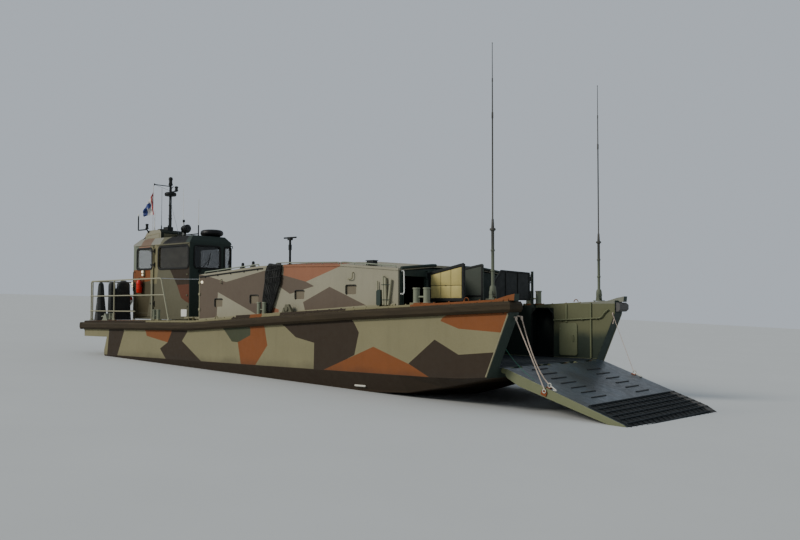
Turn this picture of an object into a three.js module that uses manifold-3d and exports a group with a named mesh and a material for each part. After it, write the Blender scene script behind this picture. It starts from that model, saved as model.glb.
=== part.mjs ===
// Military landing craft with a bow ramp, an open well forward under a removable troop shelter,
// a wheelhouse aft and two waterjets.
// Millimetres. +X runs forward from the transom, +Y to port, +Z up.
// The origin is on the centreline at the after end of the hull, on the waterline.
import * as THREE from 'three';
import { mergeVertices } from 'three/addons/utils/BufferGeometryUtils.js';
import Module from 'manifold-3d';

const wasm = await Module();
wasm.setup();

// Driving dimensions
const GAP = 0.3;            // between pieces that rest on each other
const CLEAR = 8;            // between a moving piece and what it swings past
const BEAM = 2150;          // half breadth over the side plating
const WELL = 1820;          // half breadth of the well
const FLOOR = 240;          // top of the well floor
const WELL_AFT = 4990;      // after end of the well
const TRANSOM = 100;        // after face of the hull plating
const HULL_END = 14400;     // the loft runs past the bow, and the bow is cut back from it
const DECK_LIP = 45;        // the deck stands this far above the fender's top

// Sheer: fender top at stations along the hull
const SHEER = [[0, 880], [5000, 930], [10400, 1250], [14300, 1430]];
// Hull sections: station, keel height, lower chine half breadth, lower chine height, chine height
const SECTIONS = [
  [TRANSOM, -620, 1850, -400, 20],
  [9000, -720, 1850, -400, 20],
  [10800, -680, 1860, -380, 20],
  [11600, -560, 1880, -330, 20],
  [12500, -300, 1920, -170, 22],
  [13100, -100, 1980, -50, 40],
  [13620, 52, 2050, 60, 80],
  [HULL_END, 52, 2050, 60, 80],
];

// Bow: foot and head of the side walls' raked front faces
const BOW_FOOT = [13620, 80];
const BOW_HEAD = [14100, 1200];
const SILL_SHIFT = -21;     // the sill between them, against those faces

// Stern: the plating ends here below a platform that carries the rails
const TUCK = 1130;
const PLATFORM = 500;       // underside of the platform

const colour = {
  sand: 0x8f8d72, olive: 0x4d5240, brown: 0x4a403a, green: 0x44564a, pale: 0x8e9583,
  fender: 0x57504b, black: 0x24272a, steel: 0x5b6268, ramp: 0x4b545c, glass: 0x59645e,
  tan: 0xb49a5f, white: 0xd5d6d2,
};

// Piecewise line through a table of [x, value]
function along(table, x) {
  for (let i = 1; i < table.length; i += 1) {
    const [x0, v0] = table[i - 1];
    const [x1, v1] = table[i];
    if (x <= x1 || i === table.length - 1) return v0 + (v1 - v0) * (x - x0) / (x1 - x0);
  }
  return table[0][1];
}

const sheer = (x) => along(SHEER, x);
const deck = (x) => sheer(x) + DECK_LIP;

// Solids
function toSolid(geometry) {
  const g = geometry.clone();
  for (const name of Object.keys(g.attributes)) if (name !== 'position') g.deleteAttribute(name);
  const merged = mergeVertices(g, 1e-3);
  return new wasm.Manifold(new wasm.Mesh({
    numProp: 3,
    vertProperties: new Float32Array(merged.attributes.position.array),
    triVerts: new Uint32Array(merged.index.array),
  }));
}

function toGeometry(solid) {
  const mesh = solid.getMesh();
  const g = new THREE.BufferGeometry();
  g.setAttribute('position', new THREE.BufferAttribute(new Float32Array(mesh.vertProperties), 3));
  g.setIndex(new THREE.BufferAttribute(new Uint32Array(mesh.triVerts), 1));
  g.computeVertexNormals();
  return g;
}

const union = (first, ...rest) => toGeometry(rest.reduce((a, b) => a.add(toSolid(b)), toSolid(first)));
const cut = (first, ...rest) => toGeometry(rest.reduce((a, b) => a.subtract(toSolid(b)), toSolid(first)));

function box(x0, x1, y0, y1, z0, z1) {
  const g = new THREE.BoxGeometry(x1 - x0, y1 - y0, z1 - z0);
  g.translate((x0 + x1) / 2, (y0 + y1) / 2, (z0 + z1) / 2);
  return g;
}

// A flat outline, extruded from a to b. plane names the two axes that the outline's points use.
function prism(plane, points, a, b) {
  const shape = new THREE.Shape(points.map(([u, v]) => new THREE.Vector2(u, v)));
  const g = new THREE.ExtrudeGeometry(shape, { depth: b - a, bevelEnabled: false, steps: 1 });
  const m = new THREE.Matrix4();
  if (plane === 'xy') m.set(1, 0, 0, 0, 0, 1, 0, 0, 0, 0, 1, a, 0, 0, 0, 1);
  if (plane === 'xz') m.set(1, 0, 0, 0, 0, 0, -1, b, 0, 1, 0, 0, 0, 0, 0, 1);
  if (plane === 'yz') m.set(0, 0, 1, a, 1, 0, 0, 0, 0, 1, 0, 0, 0, 0, 0, 1);
  g.applyMatrix4(m);
  return g;
}

// A rectangle with rounded corners, as points
function rounded(u0, u1, v0, v1, r, steps = 3) {
  const points = [];
  const corners = [[u1 - r, v1 - r, 0], [u0 + r, v1 - r, 1], [u0 + r, v0 + r, 2], [u1 - r, v0 + r, 3]];
  for (const [u, v, quarter] of corners) {
    for (let i = 0; i <= steps; i += 1) {
      const angle = (quarter + i / steps) * Math.PI / 2;
      points.push([u + r * Math.cos(angle), v + r * Math.sin(angle)]);
    }
  }
  return points;
}

function rod(from, to, r, sides = 10, r2 = r) {
  const a = new THREE.Vector3(...from);
  const b = new THREE.Vector3(...to);
  const g = new THREE.CylinderGeometry(r2, r, a.distanceTo(b), sides);
  const heading = b.clone().sub(a).normalize();
  g.applyQuaternion(new THREE.Quaternion().setFromUnitVectors(new THREE.Vector3(0, 1, 0), heading));
  const mid = a.add(b).multiplyScalar(0.5);
  g.translate(mid.x, mid.y, mid.z);
  return g;
}

// Rings of points with the same count, skinned into one closed body
function loft(rings) {
  const n = rings[0].length;
  const positions = rings.flat(2);
  const index = [];
  for (let k = 0; k < rings.length - 1; k += 1) {
    for (let i = 0; i < n; i += 1) {
      const j = (i + 1) % n;
      const [a, b, c, d] = [k * n + i, k * n + j, (k + 1) * n + j, (k + 1) * n + i];
      index.push(a, b, c, a, c, d);
    }
  }
  const last = (rings.length - 1) * n;
  for (let i = 1; i < n - 1; i += 1) {
    index.push(0, i + 1, i, last, last + i, last + i + 1);
  }
  const g = new THREE.BufferGeometry();
  g.setAttribute('position', new THREE.Float32BufferAttribute(positions, 3));
  g.setIndex(index);
  let volume = 0;
  const p = (i) => new THREE.Vector3(...positions.slice(3 * i, 3 * i + 3));
  for (let i = 0; i < index.length; i += 3) {
    volume += p(index[i]).dot(p(index[i + 1]).cross(p(index[i + 2])));
  }
  if (volume < 0) {
    for (let i = 0; i < index.length; i += 3) [index[i + 1], index[i + 2]] = [index[i + 2], index[i + 1]];
    g.setIndex(index);
  }
  return g.toNonIndexed();
}

const craft = new THREE.Group();

function add(name, geometry, tint, metalness = 0.1, roughness = 0.7) {
  const material = new THREE.MeshStandardMaterial({ color: tint, roughness, metalness });
  const mesh = new THREE.Mesh(geometry, material);
  mesh.name = name;
  craft.add(mesh);
  return mesh;
}

const SIDES = [['starboard', -1], ['port', 1]];

// Turns a geometry about an axis along Y through (x, z)
function pitch(geometry, x, z, degrees) {
  geometry.translate(-x, 0, -z);
  geometry.rotateY(-degrees * Math.PI / 180);
  geometry.translate(x, 0, z);
  return geometry;
}

// Hull: chine hull with raked bow faces, with the well and the two recesses cut out
function hullBody() {
  const rings = SECTIONS.map(([x, keel, lowY, lowZ, chine]) => {
    const top = deck(x);
    return [[x, -BEAM, top], [x, -BEAM, chine], [x, -lowY, lowZ], [x, 0, keel],
      [x, lowY, lowZ], [x, BEAM, chine], [x, BEAM, top]];
  });
  // Deck heights need the sheer's own stations as well
  const extra = SHEER.slice(1).map(([x]) => {
    const at = (k) => along(SECTIONS.map((row) => [row[0], row[k]]), x);
    const top = deck(x);
    return [[x, -BEAM, top], [x, -BEAM, at(4)], [x, -at(2), at(3)], [x, 0, at(1)],
      [x, at(2), at(3)], [x, BEAM, at(4)], [x, BEAM, top]];
  });
  const all = [...rings, ...extra].sort((a, b) => a[0][0] - b[0][0]);
  const reach = 2600;
  const slope = (BOW_HEAD[0] - BOW_FOOT[0]) / (BOW_HEAD[1] - BOW_FOOT[1]);
  const front = (shift) => [
    [BOW_FOOT[0] + shift - slope * (BOW_FOOT[1] + 400), -400], [HULL_END + 600, -400],
    [HULL_END + 600, reach], [BOW_HEAD[0] + shift, reach], [BOW_HEAD[0] + shift, BOW_HEAD[1]],
  ];
  const cuts = [
    box(WELL_AFT, HULL_END + 500, -WELL, WELL, FLOOR, reach),
    prism('xz', front(SILL_SHIFT), -WELL - 1, WELL + 1),
    prism('xz', front(0), -BEAM - 60, BEAM + 60),
    prism('xz', [[0, -1000], [TUCK, -1000], [TUCK, 150], [TUCK + 120, PLATFORM], [0, PLATFORM]],
      -BEAM - 10, BEAM + 10),
  ];
  for (const [, s] of SIDES) {
    const span = s > 0 ? [WELL - 50, RECESS_OUT] : [-RECESS_OUT, -WELL + 50];
    cuts.push(prism('xz', recessOutline(), ...span));
  }
  return cut(loft(all), ...cuts);
}

// Recesses in the well's sides where a lookout stands
const RECESS = [12100, 12640];
const RECESS_TOP = 1300;
const RECESS_OUT = 2080;
const recessOutline = () => [
  [RECESS[0], FLOOR + 20], [RECESS[1], FLOOR + 20], [RECESS[1], RECESS_TOP - 120],
  [RECESS[1] - 120, RECESS_TOP], [RECESS[0] + 120, RECESS_TOP], [RECESS[0], RECESS_TOP - 120],
];

// Twin mooring posts on one foot: station, half breadth, post radius, height
const BOLLARDS = [[1120, 1930, 38, 230], [3215, 1925, 44, 310], [7440, 2015, 45, 330],
  [12040, 1990, 62, 345]];

function bollard(x, y, r, height) {
  const z = deck(x) - 30;
  const pitchX = r * 2.9;
  const foot = prism('xz', [[x - pitchX - r, z], [x + pitchX + r, z], [x + pitchX + r * 0.8, z + 60],
    [x - pitchX - r * 0.8, z + 60]], y - r * 1.25, y + r * 1.25);
  const places = [x - pitchX * 0.7, x + pitchX * 0.7];
  const posts = places.map((at) => rod([at, y, z + 50], [at, y, z + height], r, 14));
  const caps = places.map((at) => rod([at, y, z + height - 22], [at, y, z + height], r * 1.14, 14));
  return [foot, ...posts, ...caps];
}

// Toe board on the deck edge amidships
const TOE = [6700, 10350];
const TOE_HIGH = 70;

function toeBoard(s) {
  const outline = [[TOE[0], deck(TOE[0]) - 20], [TOE[1], deck(TOE[1]) - 20],
    [TOE[1] + 60, deck(TOE[1]) + 4], [TOE[0] + 40, deck(TOE[0]) + TOE_HIGH - DECK_LIP + 20],
    [TOE[0], deck(TOE[0]) + TOE_HIGH - DECK_LIP + 20]];
  return prism('xz', outline, s > 0 ? BEAM - 40 : -BEAM, s > 0 ? BEAM : -BEAM + 40);
}

// Upturned end of the deck plating at each bow corner
const HORN = [[13765, 1438], [14060, 1520], [14225, 1552], [14212, 1436], [14080, 1436], [14080, 1400],
  [13800, 1400]];
const HORN_WIDE = [1990, 2140];

// Ramp hinge: axis across the sill, knuckles on the hull and on the ramp in turn
const HINGE_X = 13734;
const HINGE_Z = 190;
const KNUCKLE_R = 48;
const KNUCKLES = [-1500, -500, 500, 1500];
const KNUCKLE_W = 110;

function hullKnuckle(y) {
  const outline = [[HINGE_X - 260, HINGE_Z + 10], [HINGE_X - 260, HINGE_Z - 90],
    [HINGE_X - 20, HINGE_Z - KNUCKLE_R + 2], [HINGE_X, HINGE_Z - 20], [HINGE_X, HINGE_Z + 20]];
  return [prism('xz', outline, y - KNUCKLE_W / 2, y + KNUCKLE_W / 2),
    rod([HINGE_X, y - KNUCKLE_W / 2, HINGE_Z], [HINGE_X, y + KNUCKLE_W / 2, HINGE_Z], KNUCKLE_R, 14)];
}

// Post on the port coaming that carries the weather screen
const SCREEN_PIN = [12080, 1788, [1580, 1950]];

function screenPost() {
  const [x, y, heights] = SCREEN_PIN;
  const post = rod([x, y + 78, deck(x) - 30], [x, y + 78, 2120], 30, 12);
  const lugs = heights.flatMap((z) => [-1, 1].map((k) => box(x - 14, x + 14, y - 14, y + 70,
    z + k * 84 - 12, z + k * 84 + 12)));
  return [post, ...lugs];
}

// Lids over the engines: after end, forward end, inner and outer half breadth
const LID = [3360, 4780, 60, 1180];
const LID_PINS = [3700, 4440];
const LID_REACH = 26;       // from a lid's outer edge to its pins
const LID_Z = deck(4000) + 16;

function hatchLugs(s) {
  return LID_PINS.flatMap((x) => [-1, 1].map((k) => {
    const y = s * (LID[3] + LID_REACH);
    return box(x + k * 92 - 12, x + k * 92 + 12, y - 12, y + 12, deck(x) - 20, LID_Z + 62);
  }));
}

const fittings = screenPost();
for (const [, s] of SIDES) {
  fittings.push(toeBoard(s), ...hatchLugs(s));
  fittings.push(prism('xz', HORN, ...HORN_WIDE.map((y) => s * y).sort((a, b) => a - b)));
  for (const [x, y, r, height] of BOLLARDS) fittings.push(...bollard(x, s * y, r, height));
}
for (const y of KNUCKLES) fittings.push(...hullKnuckle(y));
add('hull', union(hullBody(), ...fittings), colour.sand, 0.05, 0.6);

// Fenders: one profile, carried round the bow corners and across the stern
const FENDER_H = 190;
const FENDER_T = 100;
const fenderProfile = [[0, 0], [0, -FENDER_H], [62, -FENDER_H], [FENDER_T, -FENDER_H + 48],
  [FENDER_T, -48], [62, 0]];

function fender(path) {
  const rings = path.map(([x, y], i) => {
    const before = path[Math.max(i - 1, 0)];
    const after = path[Math.min(i + 1, path.length - 1)];
    const d1 = new THREE.Vector2(x - before[0], y - before[1]);
    const d2 = new THREE.Vector2(after[0] - x, after[1] - y);
    if (i === 0) d1.copy(d2);
    if (i === path.length - 1) d2.copy(d1);
    d1.normalize();
    d2.normalize();
    const n = new THREE.Vector2(-(d1.y + d2.y), d1.x + d2.x).normalize();
    const stretch = 1 / Math.max(n.dot(new THREE.Vector2(-d1.y, d1.x)), 0.3);
    const z = path[i][2];
    return fenderProfile.map(([u, v]) => [x + n.x * u * stretch, y + n.y * u * stretch, z + v]);
  });
  return loft(rings);
}

const BOW_TOP = sheer(BOW_HEAD[0]);
for (const [side, s] of SIDES) {
  const y = s * (BEAM + GAP);
  const stations = [TRANSOM - GAP, 5000, 10400, BOW_HEAD[0] - 60];
  const path = stations.map((x) => [x, y, sheer(x)]);
  path.push([BOW_HEAD[0] + 2, y, BOW_TOP + 2], [BOW_HEAD[0] + 2, s * (WELL + 30), BOW_TOP + 2]);
  if (s < 0) path.reverse();
  add(`fender_${side}`, fender(path), colour.fender, 0, 0.8);
}
const sternPath = [-1, 1].map((s) => [TRANSOM - 2 * GAP, s * (BEAM + FENDER_T), sheer(0)]);
add('fender_stern', fender(sternPath), colour.fender, 0, 0.8);

// Bow ramp, drawn level and then let down
const RAMP_HALF = 1785;
const RAMP_LONG = 2730;
const RAMP_DOWN = 19.4;
const RAMP_FLAP = 300;      // the outer end bends down
const PLATE = 34;

function ramp() {
  const x = (u) => HINGE_X + u;
  const top = HINGE_Z + 62;
  const start = 78;
  const skin = prism('xz', [[x(start), top], [x(RAMP_LONG - RAMP_FLAP), top], [x(RAMP_LONG), top - 62],
    [x(RAMP_LONG), top - 62 - PLATE], [x(RAMP_LONG - RAMP_FLAP), top - PLATE - 6], [x(start), top - PLATE]],
  -RAMP_HALF, RAMP_HALF);
  const girder = (y0, y1) => prism('xz', [[x(start), top], [x(RAMP_LONG - RAMP_FLAP), top],
    [x(RAMP_LONG), top - 62], [x(RAMP_LONG), top - 100], [x(RAMP_LONG - RAMP_FLAP), top - 100],
    [x(430), top - 190], [x(start + 60), top - 150], [x(start), top - 110]], y0, y1);
  const pieces = [skin];
  const girders = [-RAMP_HALF, -600, 560, RAMP_HALF - 40];
  for (const y of girders) pieces.push(girder(y, y + 40));
  for (const u of [start, 620, 1140, 1660, 2180]) {
    pieces.push(box(x(u), x(u) + 40, -RAMP_HALF, RAMP_HALF, top - 95, top - 1));
  }
  const gap = KNUCKLE_W / 2 + 6;
  const ends = [-RAMP_HALF, ...KNUCKLES.flatMap((y) => [y - gap, y + gap]), RAMP_HALF];
  for (let i = 0; i < ends.length; i += 2) {
    const middle = (ends[i] + ends[i + 1]) / 2;
    const half = Math.min((ends[i + 1] - ends[i]) / 2, 190);
    const y0 = i === 0 ? ends[i + 1] - 200 : (i === ends.length - 2 ? ends[i] : middle - half);
    const y1 = y0 + (i === 0 || i === ends.length - 2 ? 200 : 2 * half);
    pieces.push(rod([HINGE_X, y0, HINGE_Z], [HINGE_X, y1, HINGE_Z], KNUCKLE_R, 14));
    pieces.push(prism('xz', [[x(0), HINGE_Z - KNUCKLE_R + 4], [x(start + 30), HINGE_Z - 30],
      [x(start + 30), top - 2], [x(20), HINGE_Z + KNUCKLE_R - 6], [x(0), HINGE_Z + KNUCKLE_R - 2]], y0, y1));
  }
  return pitch(union(...pieces), HINGE_X, HINGE_Z, -RAMP_DOWN);
}
add('bow_ramp', ramp(), colour.ramp, 0.3, 0.55);

// Troop shelter over the well
const WALL = [1845, 1885];   // inner and outer half breadth of its walls
const SHELTER = [4960, 11360];
const EAVES = [[4960, 2050], [7200, 2195], [8000, 2200], [9900, 2155], [11360, 2035]];
const ROOF_T = 45;
const CAMBER = 95;
// After end and top of each step pocket, and their length, height and depth
const STEPS = [[5570, 1505], [6875, 1585], [8392, 1675], [9935, 1768]];
const STEP = [295, 190, 22];

for (const [side, s] of SIDES) {
  const foot = [SHELTER[0], 5000, 10400, SHELTER[1]].map((x) => [x, deck(x) + 6]);
  const head = [...EAVES].reverse();
  const y0 = s > 0 ? WALL[0] : -WALL[1];
  const wall = prism('xz', [...foot, ...head], y0, y0 + WALL[1] - WALL[0]);
  const span = s > 0 ? [WALL[1] - STEP[2], WALL[1] + 5] : [-WALL[1] - 5, STEP[2] - WALL[1]];
  const pockets = STEPS.map(([x, z]) => prism('xz', rounded(x, x + STEP[0], z - STEP[1], z, 25, 2), ...span));
  add(`shelter_wall_${side}`, cut(wall, ...pockets), colour.sand);
}

function roofPanel(stations) {
  const rings = stations.map((x) => {
    const z = along(EAVES, x) + GAP;
    const w = WALL[1] + 12;
    return [[x, -w, z], [x, w, z], [x, w, z + ROOF_T], [x, w * 0.45, z + ROOF_T + CAMBER],
      [x, -w * 0.45, z + ROOF_T + CAMBER], [x, -w, z + ROOF_T]];
  });
  const hollow = stations.map((x) => {
    const z = along(EAVES, x) + GAP;
    const w = WALL[0] - 60;
    return [[x, -w, z - 5], [x, w, z - 5], [x, w, z + 4], [x, w * 0.45, z + CAMBER - 4],
      [x, -w * 0.45, z + CAMBER - 4], [x, -w, z + 4]];
  });
  const moved = (ring, d) => ring.map(([x, y, z]) => [x + d, y, z]);
  const last = hollow.length - 1;
  hollow[0] = moved(hollow[0], -30);
  hollow[last] = moved(hollow[last], 30);
  return cut(loft(rings), loft(hollow));
}
add('shelter_roof_aft', roofPanel([SHELTER[0], 7200, 8000]), colour.sand);
add('shelter_roof_forward', roofPanel([8000 + 6, 9900, SHELTER[1] + 12]), colour.sand);

// Its end walls
const BULKHEAD = [11316, 11356];
const DOORWAY = [1040, 1720, 300, 1930];
const MIDWAY = [-700, -60, 300, 1930];

function endWall(x0, x1, z0, doorways) {
  const top = along(EAVES, (x0 + x1) / 2) - 8;
  const w = WALL[0] - 12;
  const outline = [[-WELL + 6, z0], [WELL - 6, z0], [WELL - 6, deck(x0) + 12], [w, deck(x0) + 12], [w, top],
    [w * 0.45, top + CAMBER * 0.8], [-w * 0.45, top + CAMBER * 0.8], [-w, top], [-w, deck(x0) + 12],
    [-WELL + 6, deck(x0) + 12]];
  return cut(prism('yz', outline, x0, x1), ...doorways.map((edges) => box(x0 - 5, x1 + 5, ...edges)));
}

// Its doors stand open on pins ahead of the front wall, which carries a lug under and over each pin
const LEAF = 32;
const PIN_R = 16;
const PIN_HALF = 60;
const doorPin = { starboard: [11400, -1010, [1500, 1960]], port: [11400, -20, [500, 1200, 1900]] };

function pinLugs([x, y, heights], reach) {
  return heights.flatMap((z) => [-1, 1].map((k) => {
    const z0 = z + k * (PIN_HALF + CLEAR + 12);
    return box(reach, x + PIN_R, y - 14, y + 14, z0 - 12, z0 + 12);
  }));
}

add('shelter_front', union(endWall(BULKHEAD[0], BULKHEAD[1], FLOOR + GAP, [
  [-DOORWAY[1], -DOORWAY[0], DOORWAY[2], DOORWAY[3]], MIDWAY]),
...pinLugs(doorPin.starboard, BULKHEAD[1] - 10), ...pinLugs(doorPin.port, BULKHEAD[1] - 10)), colour.green);
add('shelter_aft', prism('yz', [[-WALL[0] + 12, deck(WELL_AFT) + 6], [WALL[0] - 12, deck(WELL_AFT) + 6],
  [WALL[0] - 12, 2040], [WALL[0] * 0.45, 2110], [-WALL[0] * 0.45, 2110], [-WALL[0] + 12, 2040]],
SHELTER[0] + 8, SHELTER[0] + 34), colour.sand);

function swingDoor([x, y, heights], leaf) {
  const pins = heights.map((z) => rod([x, y, z - PIN_HALF], [x, y, z + PIN_HALF], PIN_R, 8));
  const straps = heights.map((z) => box(x, x + 60, y - 8, y + 8, z - 50, z + 50));
  return union(prism('xz', leaf, y - LEAF / 2, y + LEAF / 2), ...pins, ...straps);
}
add('shelter_door_starboard', swingDoor(doorPin.starboard, [[11430, 1430], [12300, 1430], [12335, 1465],
  [12335, 2160], [12300, 2188], [11470, 2025], [11430, 1990]]), colour.tan);
add('shelter_door_port', swingDoor(doorPin.port, [[11424, 330], [12080, 330], [12080, 2195], [12050, 2218],
  [11460, 2122], [11424, 2090]]), colour.green);

// Weather screen, hung on a post on the port coaming
const SCREEN = [[330, 1470], [1740, 1470], [1740, 2090], [630, 2112], [330, 1830]];
add('bow_screen', union(prism('yz', SCREEN, 12064, 12096),
  ...SCREEN_PIN[2].flatMap((z) => [
    rod([SCREEN_PIN[0], SCREEN_PIN[1], z - PIN_HALF], [SCREEN_PIN[0], SCREEN_PIN[1], z + PIN_HALF], PIN_R, 8),
    box(SCREEN_PIN[0] - 8, SCREEN_PIN[0] + 8, 1700, SCREEN_PIN[1], z - 50, z + 50)])), colour.black);

// Bow antennas: a foot with two lugs, and a post with a whip that folds aft
const ANTENNA = [13660, 1975];
const POST_TALL = 1250;
const WHIP_TALL = 3370;
for (const [side, s] of SIDES) {
  const [x] = ANTENNA;
  const y = s * ANTENNA[1];
  const z = deck(x) + 8;
  const foot = box(x - 90, x + 90, y - 90, y + 90, z, z + 16);
  const lug = [[x - 40, z + 14], [x + 40, z + 14], [x + 30, z + 105], [x - 30, z + 105]];
  const lugs = [-1, 1].map((k) => prism('xz', lug, y + k * 58 - 10, y + k * 58 + 10));
  add(`antenna_foot_${side}`, union(foot, ...lugs), colour.pale, 0.4);
  const eye = rod([x, y - 42, z + 75], [x, y + 42, z + 75], 34, 12);
  const post = rod([x, y, z + 75], [x, y, z + POST_TALL], 29, 12, 26);
  const flange = rod([x, y, z + POST_TALL - 20], [x, y, z + POST_TALL + 22], 52, 14);
  const base = rod([x, y, z + POST_TALL + 20], [x, y, z + POST_TALL + 190], 24, 10, 16);
  const whip = rod([x, y, z + POST_TALL + 188], [x, y, z + POST_TALL + WHIP_TALL], 13, 8, 6);
  const joint = rod([x, y, z + POST_TALL + 2000], [x, y, z + POST_TALL + 2100], 17, 8);
  add(`antenna_${side}`, union(eye, post, flange, base, whip, joint), colour.pale, 0.3);
}

// Wheelhouse
const HOUSE = { x0: 420, x1: 3140, starboard: -870, port: 530, z0: deck(2000) + 22, z1: 3040, t: 40 };
const SILL = 2365;
const LINTEL = 2955;
const DOOR = [650, 1470, HOUSE.z0 + 90, 2985];  // ends, foot and head of a doorway
const HOUSE_PINS = [1400, 2480, 2860];
const SIDE_PANE = [1700, 3075];
const FRONT_PANES = [[-720, 130, 80], [285, 488, 50]];
const AFT_PANE = [-690, 350];

function houseShell() {
  const { x0, x1, z0, z1, t } = HOUSE;
  const [ya, yb] = [HOUSE.starboard, HOUSE.port];
  const outer = prism('xy', rounded(x0, x1, ya, yb, 55, 3), z0, z1);
  const inner = prism('xy', rounded(x0 + t, x1 - t, ya + t, yb - t, 20, 2), z0 + 40, z1 + 50);
  const cuts = [inner];
  cuts.push(prism('xz', rounded(...SIDE_PANE, SILL, LINTEL, 90), ya - 50, yb + 50));
  cuts.push(prism('xz', rounded(DOOR[0], DOOR[1], DOOR[2], DOOR[3], 60, 2), ya - 50, yb + 50));
  for (const [a, b, r] of FRONT_PANES) {
    cuts.push(prism('yz', rounded(a, b, SILL, LINTEL, r), x1 - t - 50, x1 + 50));
  }
  cuts.push(prism('yz', rounded(...AFT_PANE, SILL + 40, LINTEL, 70), x0 - 50, x0 + t + 50));
  const lugs = SIDES.flatMap(([side, s]) => HOUSE_PINS.flatMap((z) => [-1, 1].map((k) => {
    const y = HOUSE[side];
    const ends = [y - s * 10, y + s * 36].sort((a, b) => a - b);
    return box(DOOR[1] + 34, DOOR[1] + 66, ...ends, z + k * 68 - 10, z + k * 68 + 10);
  })));
  return union(cut(outer, ...cuts), ...lugs);
}
add('wheelhouse_shell', houseShell(), colour.olive);

const ROOF_TOP = 3240;
// Rings of the roof: how far in from the walls aft, forward, to starboard and to port, and the height
const ROOF_RINGS = [[0, 0, 0, 0, HOUSE.z1 + GAP], [20, 10, 30, 30, HOUSE.z1 + 60],
  [180, 60, 150, 200, ROOF_TOP]];
add('wheelhouse_roof', loft(ROOF_RINGS.map(([aft, fore, right, left, z]) => [
  [HOUSE.x0 + aft, HOUSE.starboard + right, z], [HOUSE.x1 - fore, HOUSE.starboard + right, z],
  [HOUSE.x1 - fore, HOUSE.port - left, z], [HOUSE.x0 + aft, HOUSE.port - left, z]])), colour.sand);

// Panes, a little smaller than their frames
function pane(name, plane, outline, a, b) {
  add(name, prism(plane, outline, a, b), colour.glass, 0, 0.1);
}
const PANE_T = 8;
const PANE_IN = 28;         // from the walls' outer faces to the panes' inner faces
const shrunk = ([a, b], r = 90) => rounded(a + 8, b - 8, SILL + 8, LINTEL - 8, r - 6);
for (const [side, s] of SIDES) {
  const y = HOUSE[side] - s * PANE_IN;
  pane(`window_${side}`, 'xz', shrunk(SIDE_PANE), Math.min(y, y + s * PANE_T), Math.max(y, y + s * PANE_T));
}
for (const [i, side] of ['starboard', 'port'].entries()) {
  const [a, b, r] = FRONT_PANES[i];
  pane(`windscreen_${side}`, 'yz', shrunk([a, b], r), HOUSE.x1 - PANE_IN, HOUSE.x1 - PANE_IN + PANE_T);
}
pane('window_aft', 'yz', rounded(AFT_PANE[0] + 8, AFT_PANE[1] - 8, SILL + 48, LINTEL - 8, 64),
  HOUSE.x0 + PANE_IN - PANE_T, HOUSE.x0 + PANE_IN);

// Wheelhouse doors, hung on their forward edges
const DOOR_T = 30;
const doorWindow = [DOOR[0] + 55, DOOR[1] - 45, SILL + 10, LINTEL - 20];
const doorPane = doorWindow.map((edge, i) => edge + (i % 2 ? -1 : 1));
for (const [side, s] of SIDES) {
  const y = Math.abs(HOUSE[side]) + 6;
  const span = s > 0 ? [y, y + DOOR_T] : [-y - DOOR_T, -y];
  const leaf = prism('xz', rounded(DOOR[0] - 25, DOOR[1] + 15, DOOR[2] - 20, DOOR[3] + 18, 60, 2), ...span);
  const hole = prism('xz', rounded(...doorWindow, 60, 3), span[0] - 5, span[1] + 5);
  const hinges = HOUSE_PINS.flatMap((z) => [
    rod([DOOR[1] + 50, s * (y + 16), z - 50], [DOOR[1] + 50, s * (y + 16), z + 50], 15, 8),
    box(DOOR[1] - 20, DOOR[1] + 50, s * (y + 16) - 6, s * (y + 16) + 6, z - 40, z + 40)]);
  add(`wheelhouse_door_${side}`, union(cut(leaf, hole), ...hinges), colour.olive);
  const middle = s * (y + DOOR_T / 2);
  pane(`door_window_${side}`, 'xz', rounded(...doorPane, 59, 3), middle - PANE_T / 2, middle + PANE_T / 2);
}

// Helm inside the wheelhouse
const FLOOR_IN = HOUSE.z0 + 40 + GAP;
const WHEEL = [2510, -310, 2060];
const WHEEL_LEAN = Math.PI / 3;
const column = (d) => [WHEEL[0] + d * Math.sin(WHEEL_LEAN), WHEEL[1], WHEEL[2] - d * Math.cos(WHEEL_LEAN)];
add('helm_console', union(
  prism('xz', [[2560, FLOOR_IN], [3060, FLOOR_IN], [3060, 2180], [2840, 2240], [2560, 2000]], -760, 440),
  rod(column(40), column(220), 22, 10)), colour.black);
const seat = union(
  prism('xz', [[1750, 1560], [2230, 1560], [2230, 1660], [1860, 1670], [1800, 2250], [1700, 2250]],
    -560, -60),
  rod([1980, -310, FLOOR_IN], [1980, -310, 1570], 60, 12),
  box(1800, 2160, -490, -130, FLOOR_IN, FLOOR_IN + 25));
add('helm_seat', seat, colour.black, 0, 0.9);
const wheel = new THREE.TorusGeometry(170, 15, 6, 20);
const spoke = (a) => rod([0, 0, 0], [165 * Math.cos(a), 165 * Math.sin(a), 0], 11, 6);
const wheelGeometry = union(wheel, rod([0, 0, -32], [0, 0, 32], 32, 12), ...[0.5, 2.6, 4.71].map(spoke));
wheelGeometry.rotateY(-WHEEL_LEAN);
wheelGeometry.translate(...WHEEL);
add('helm_wheel', wheelGeometry, colour.black);

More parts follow.
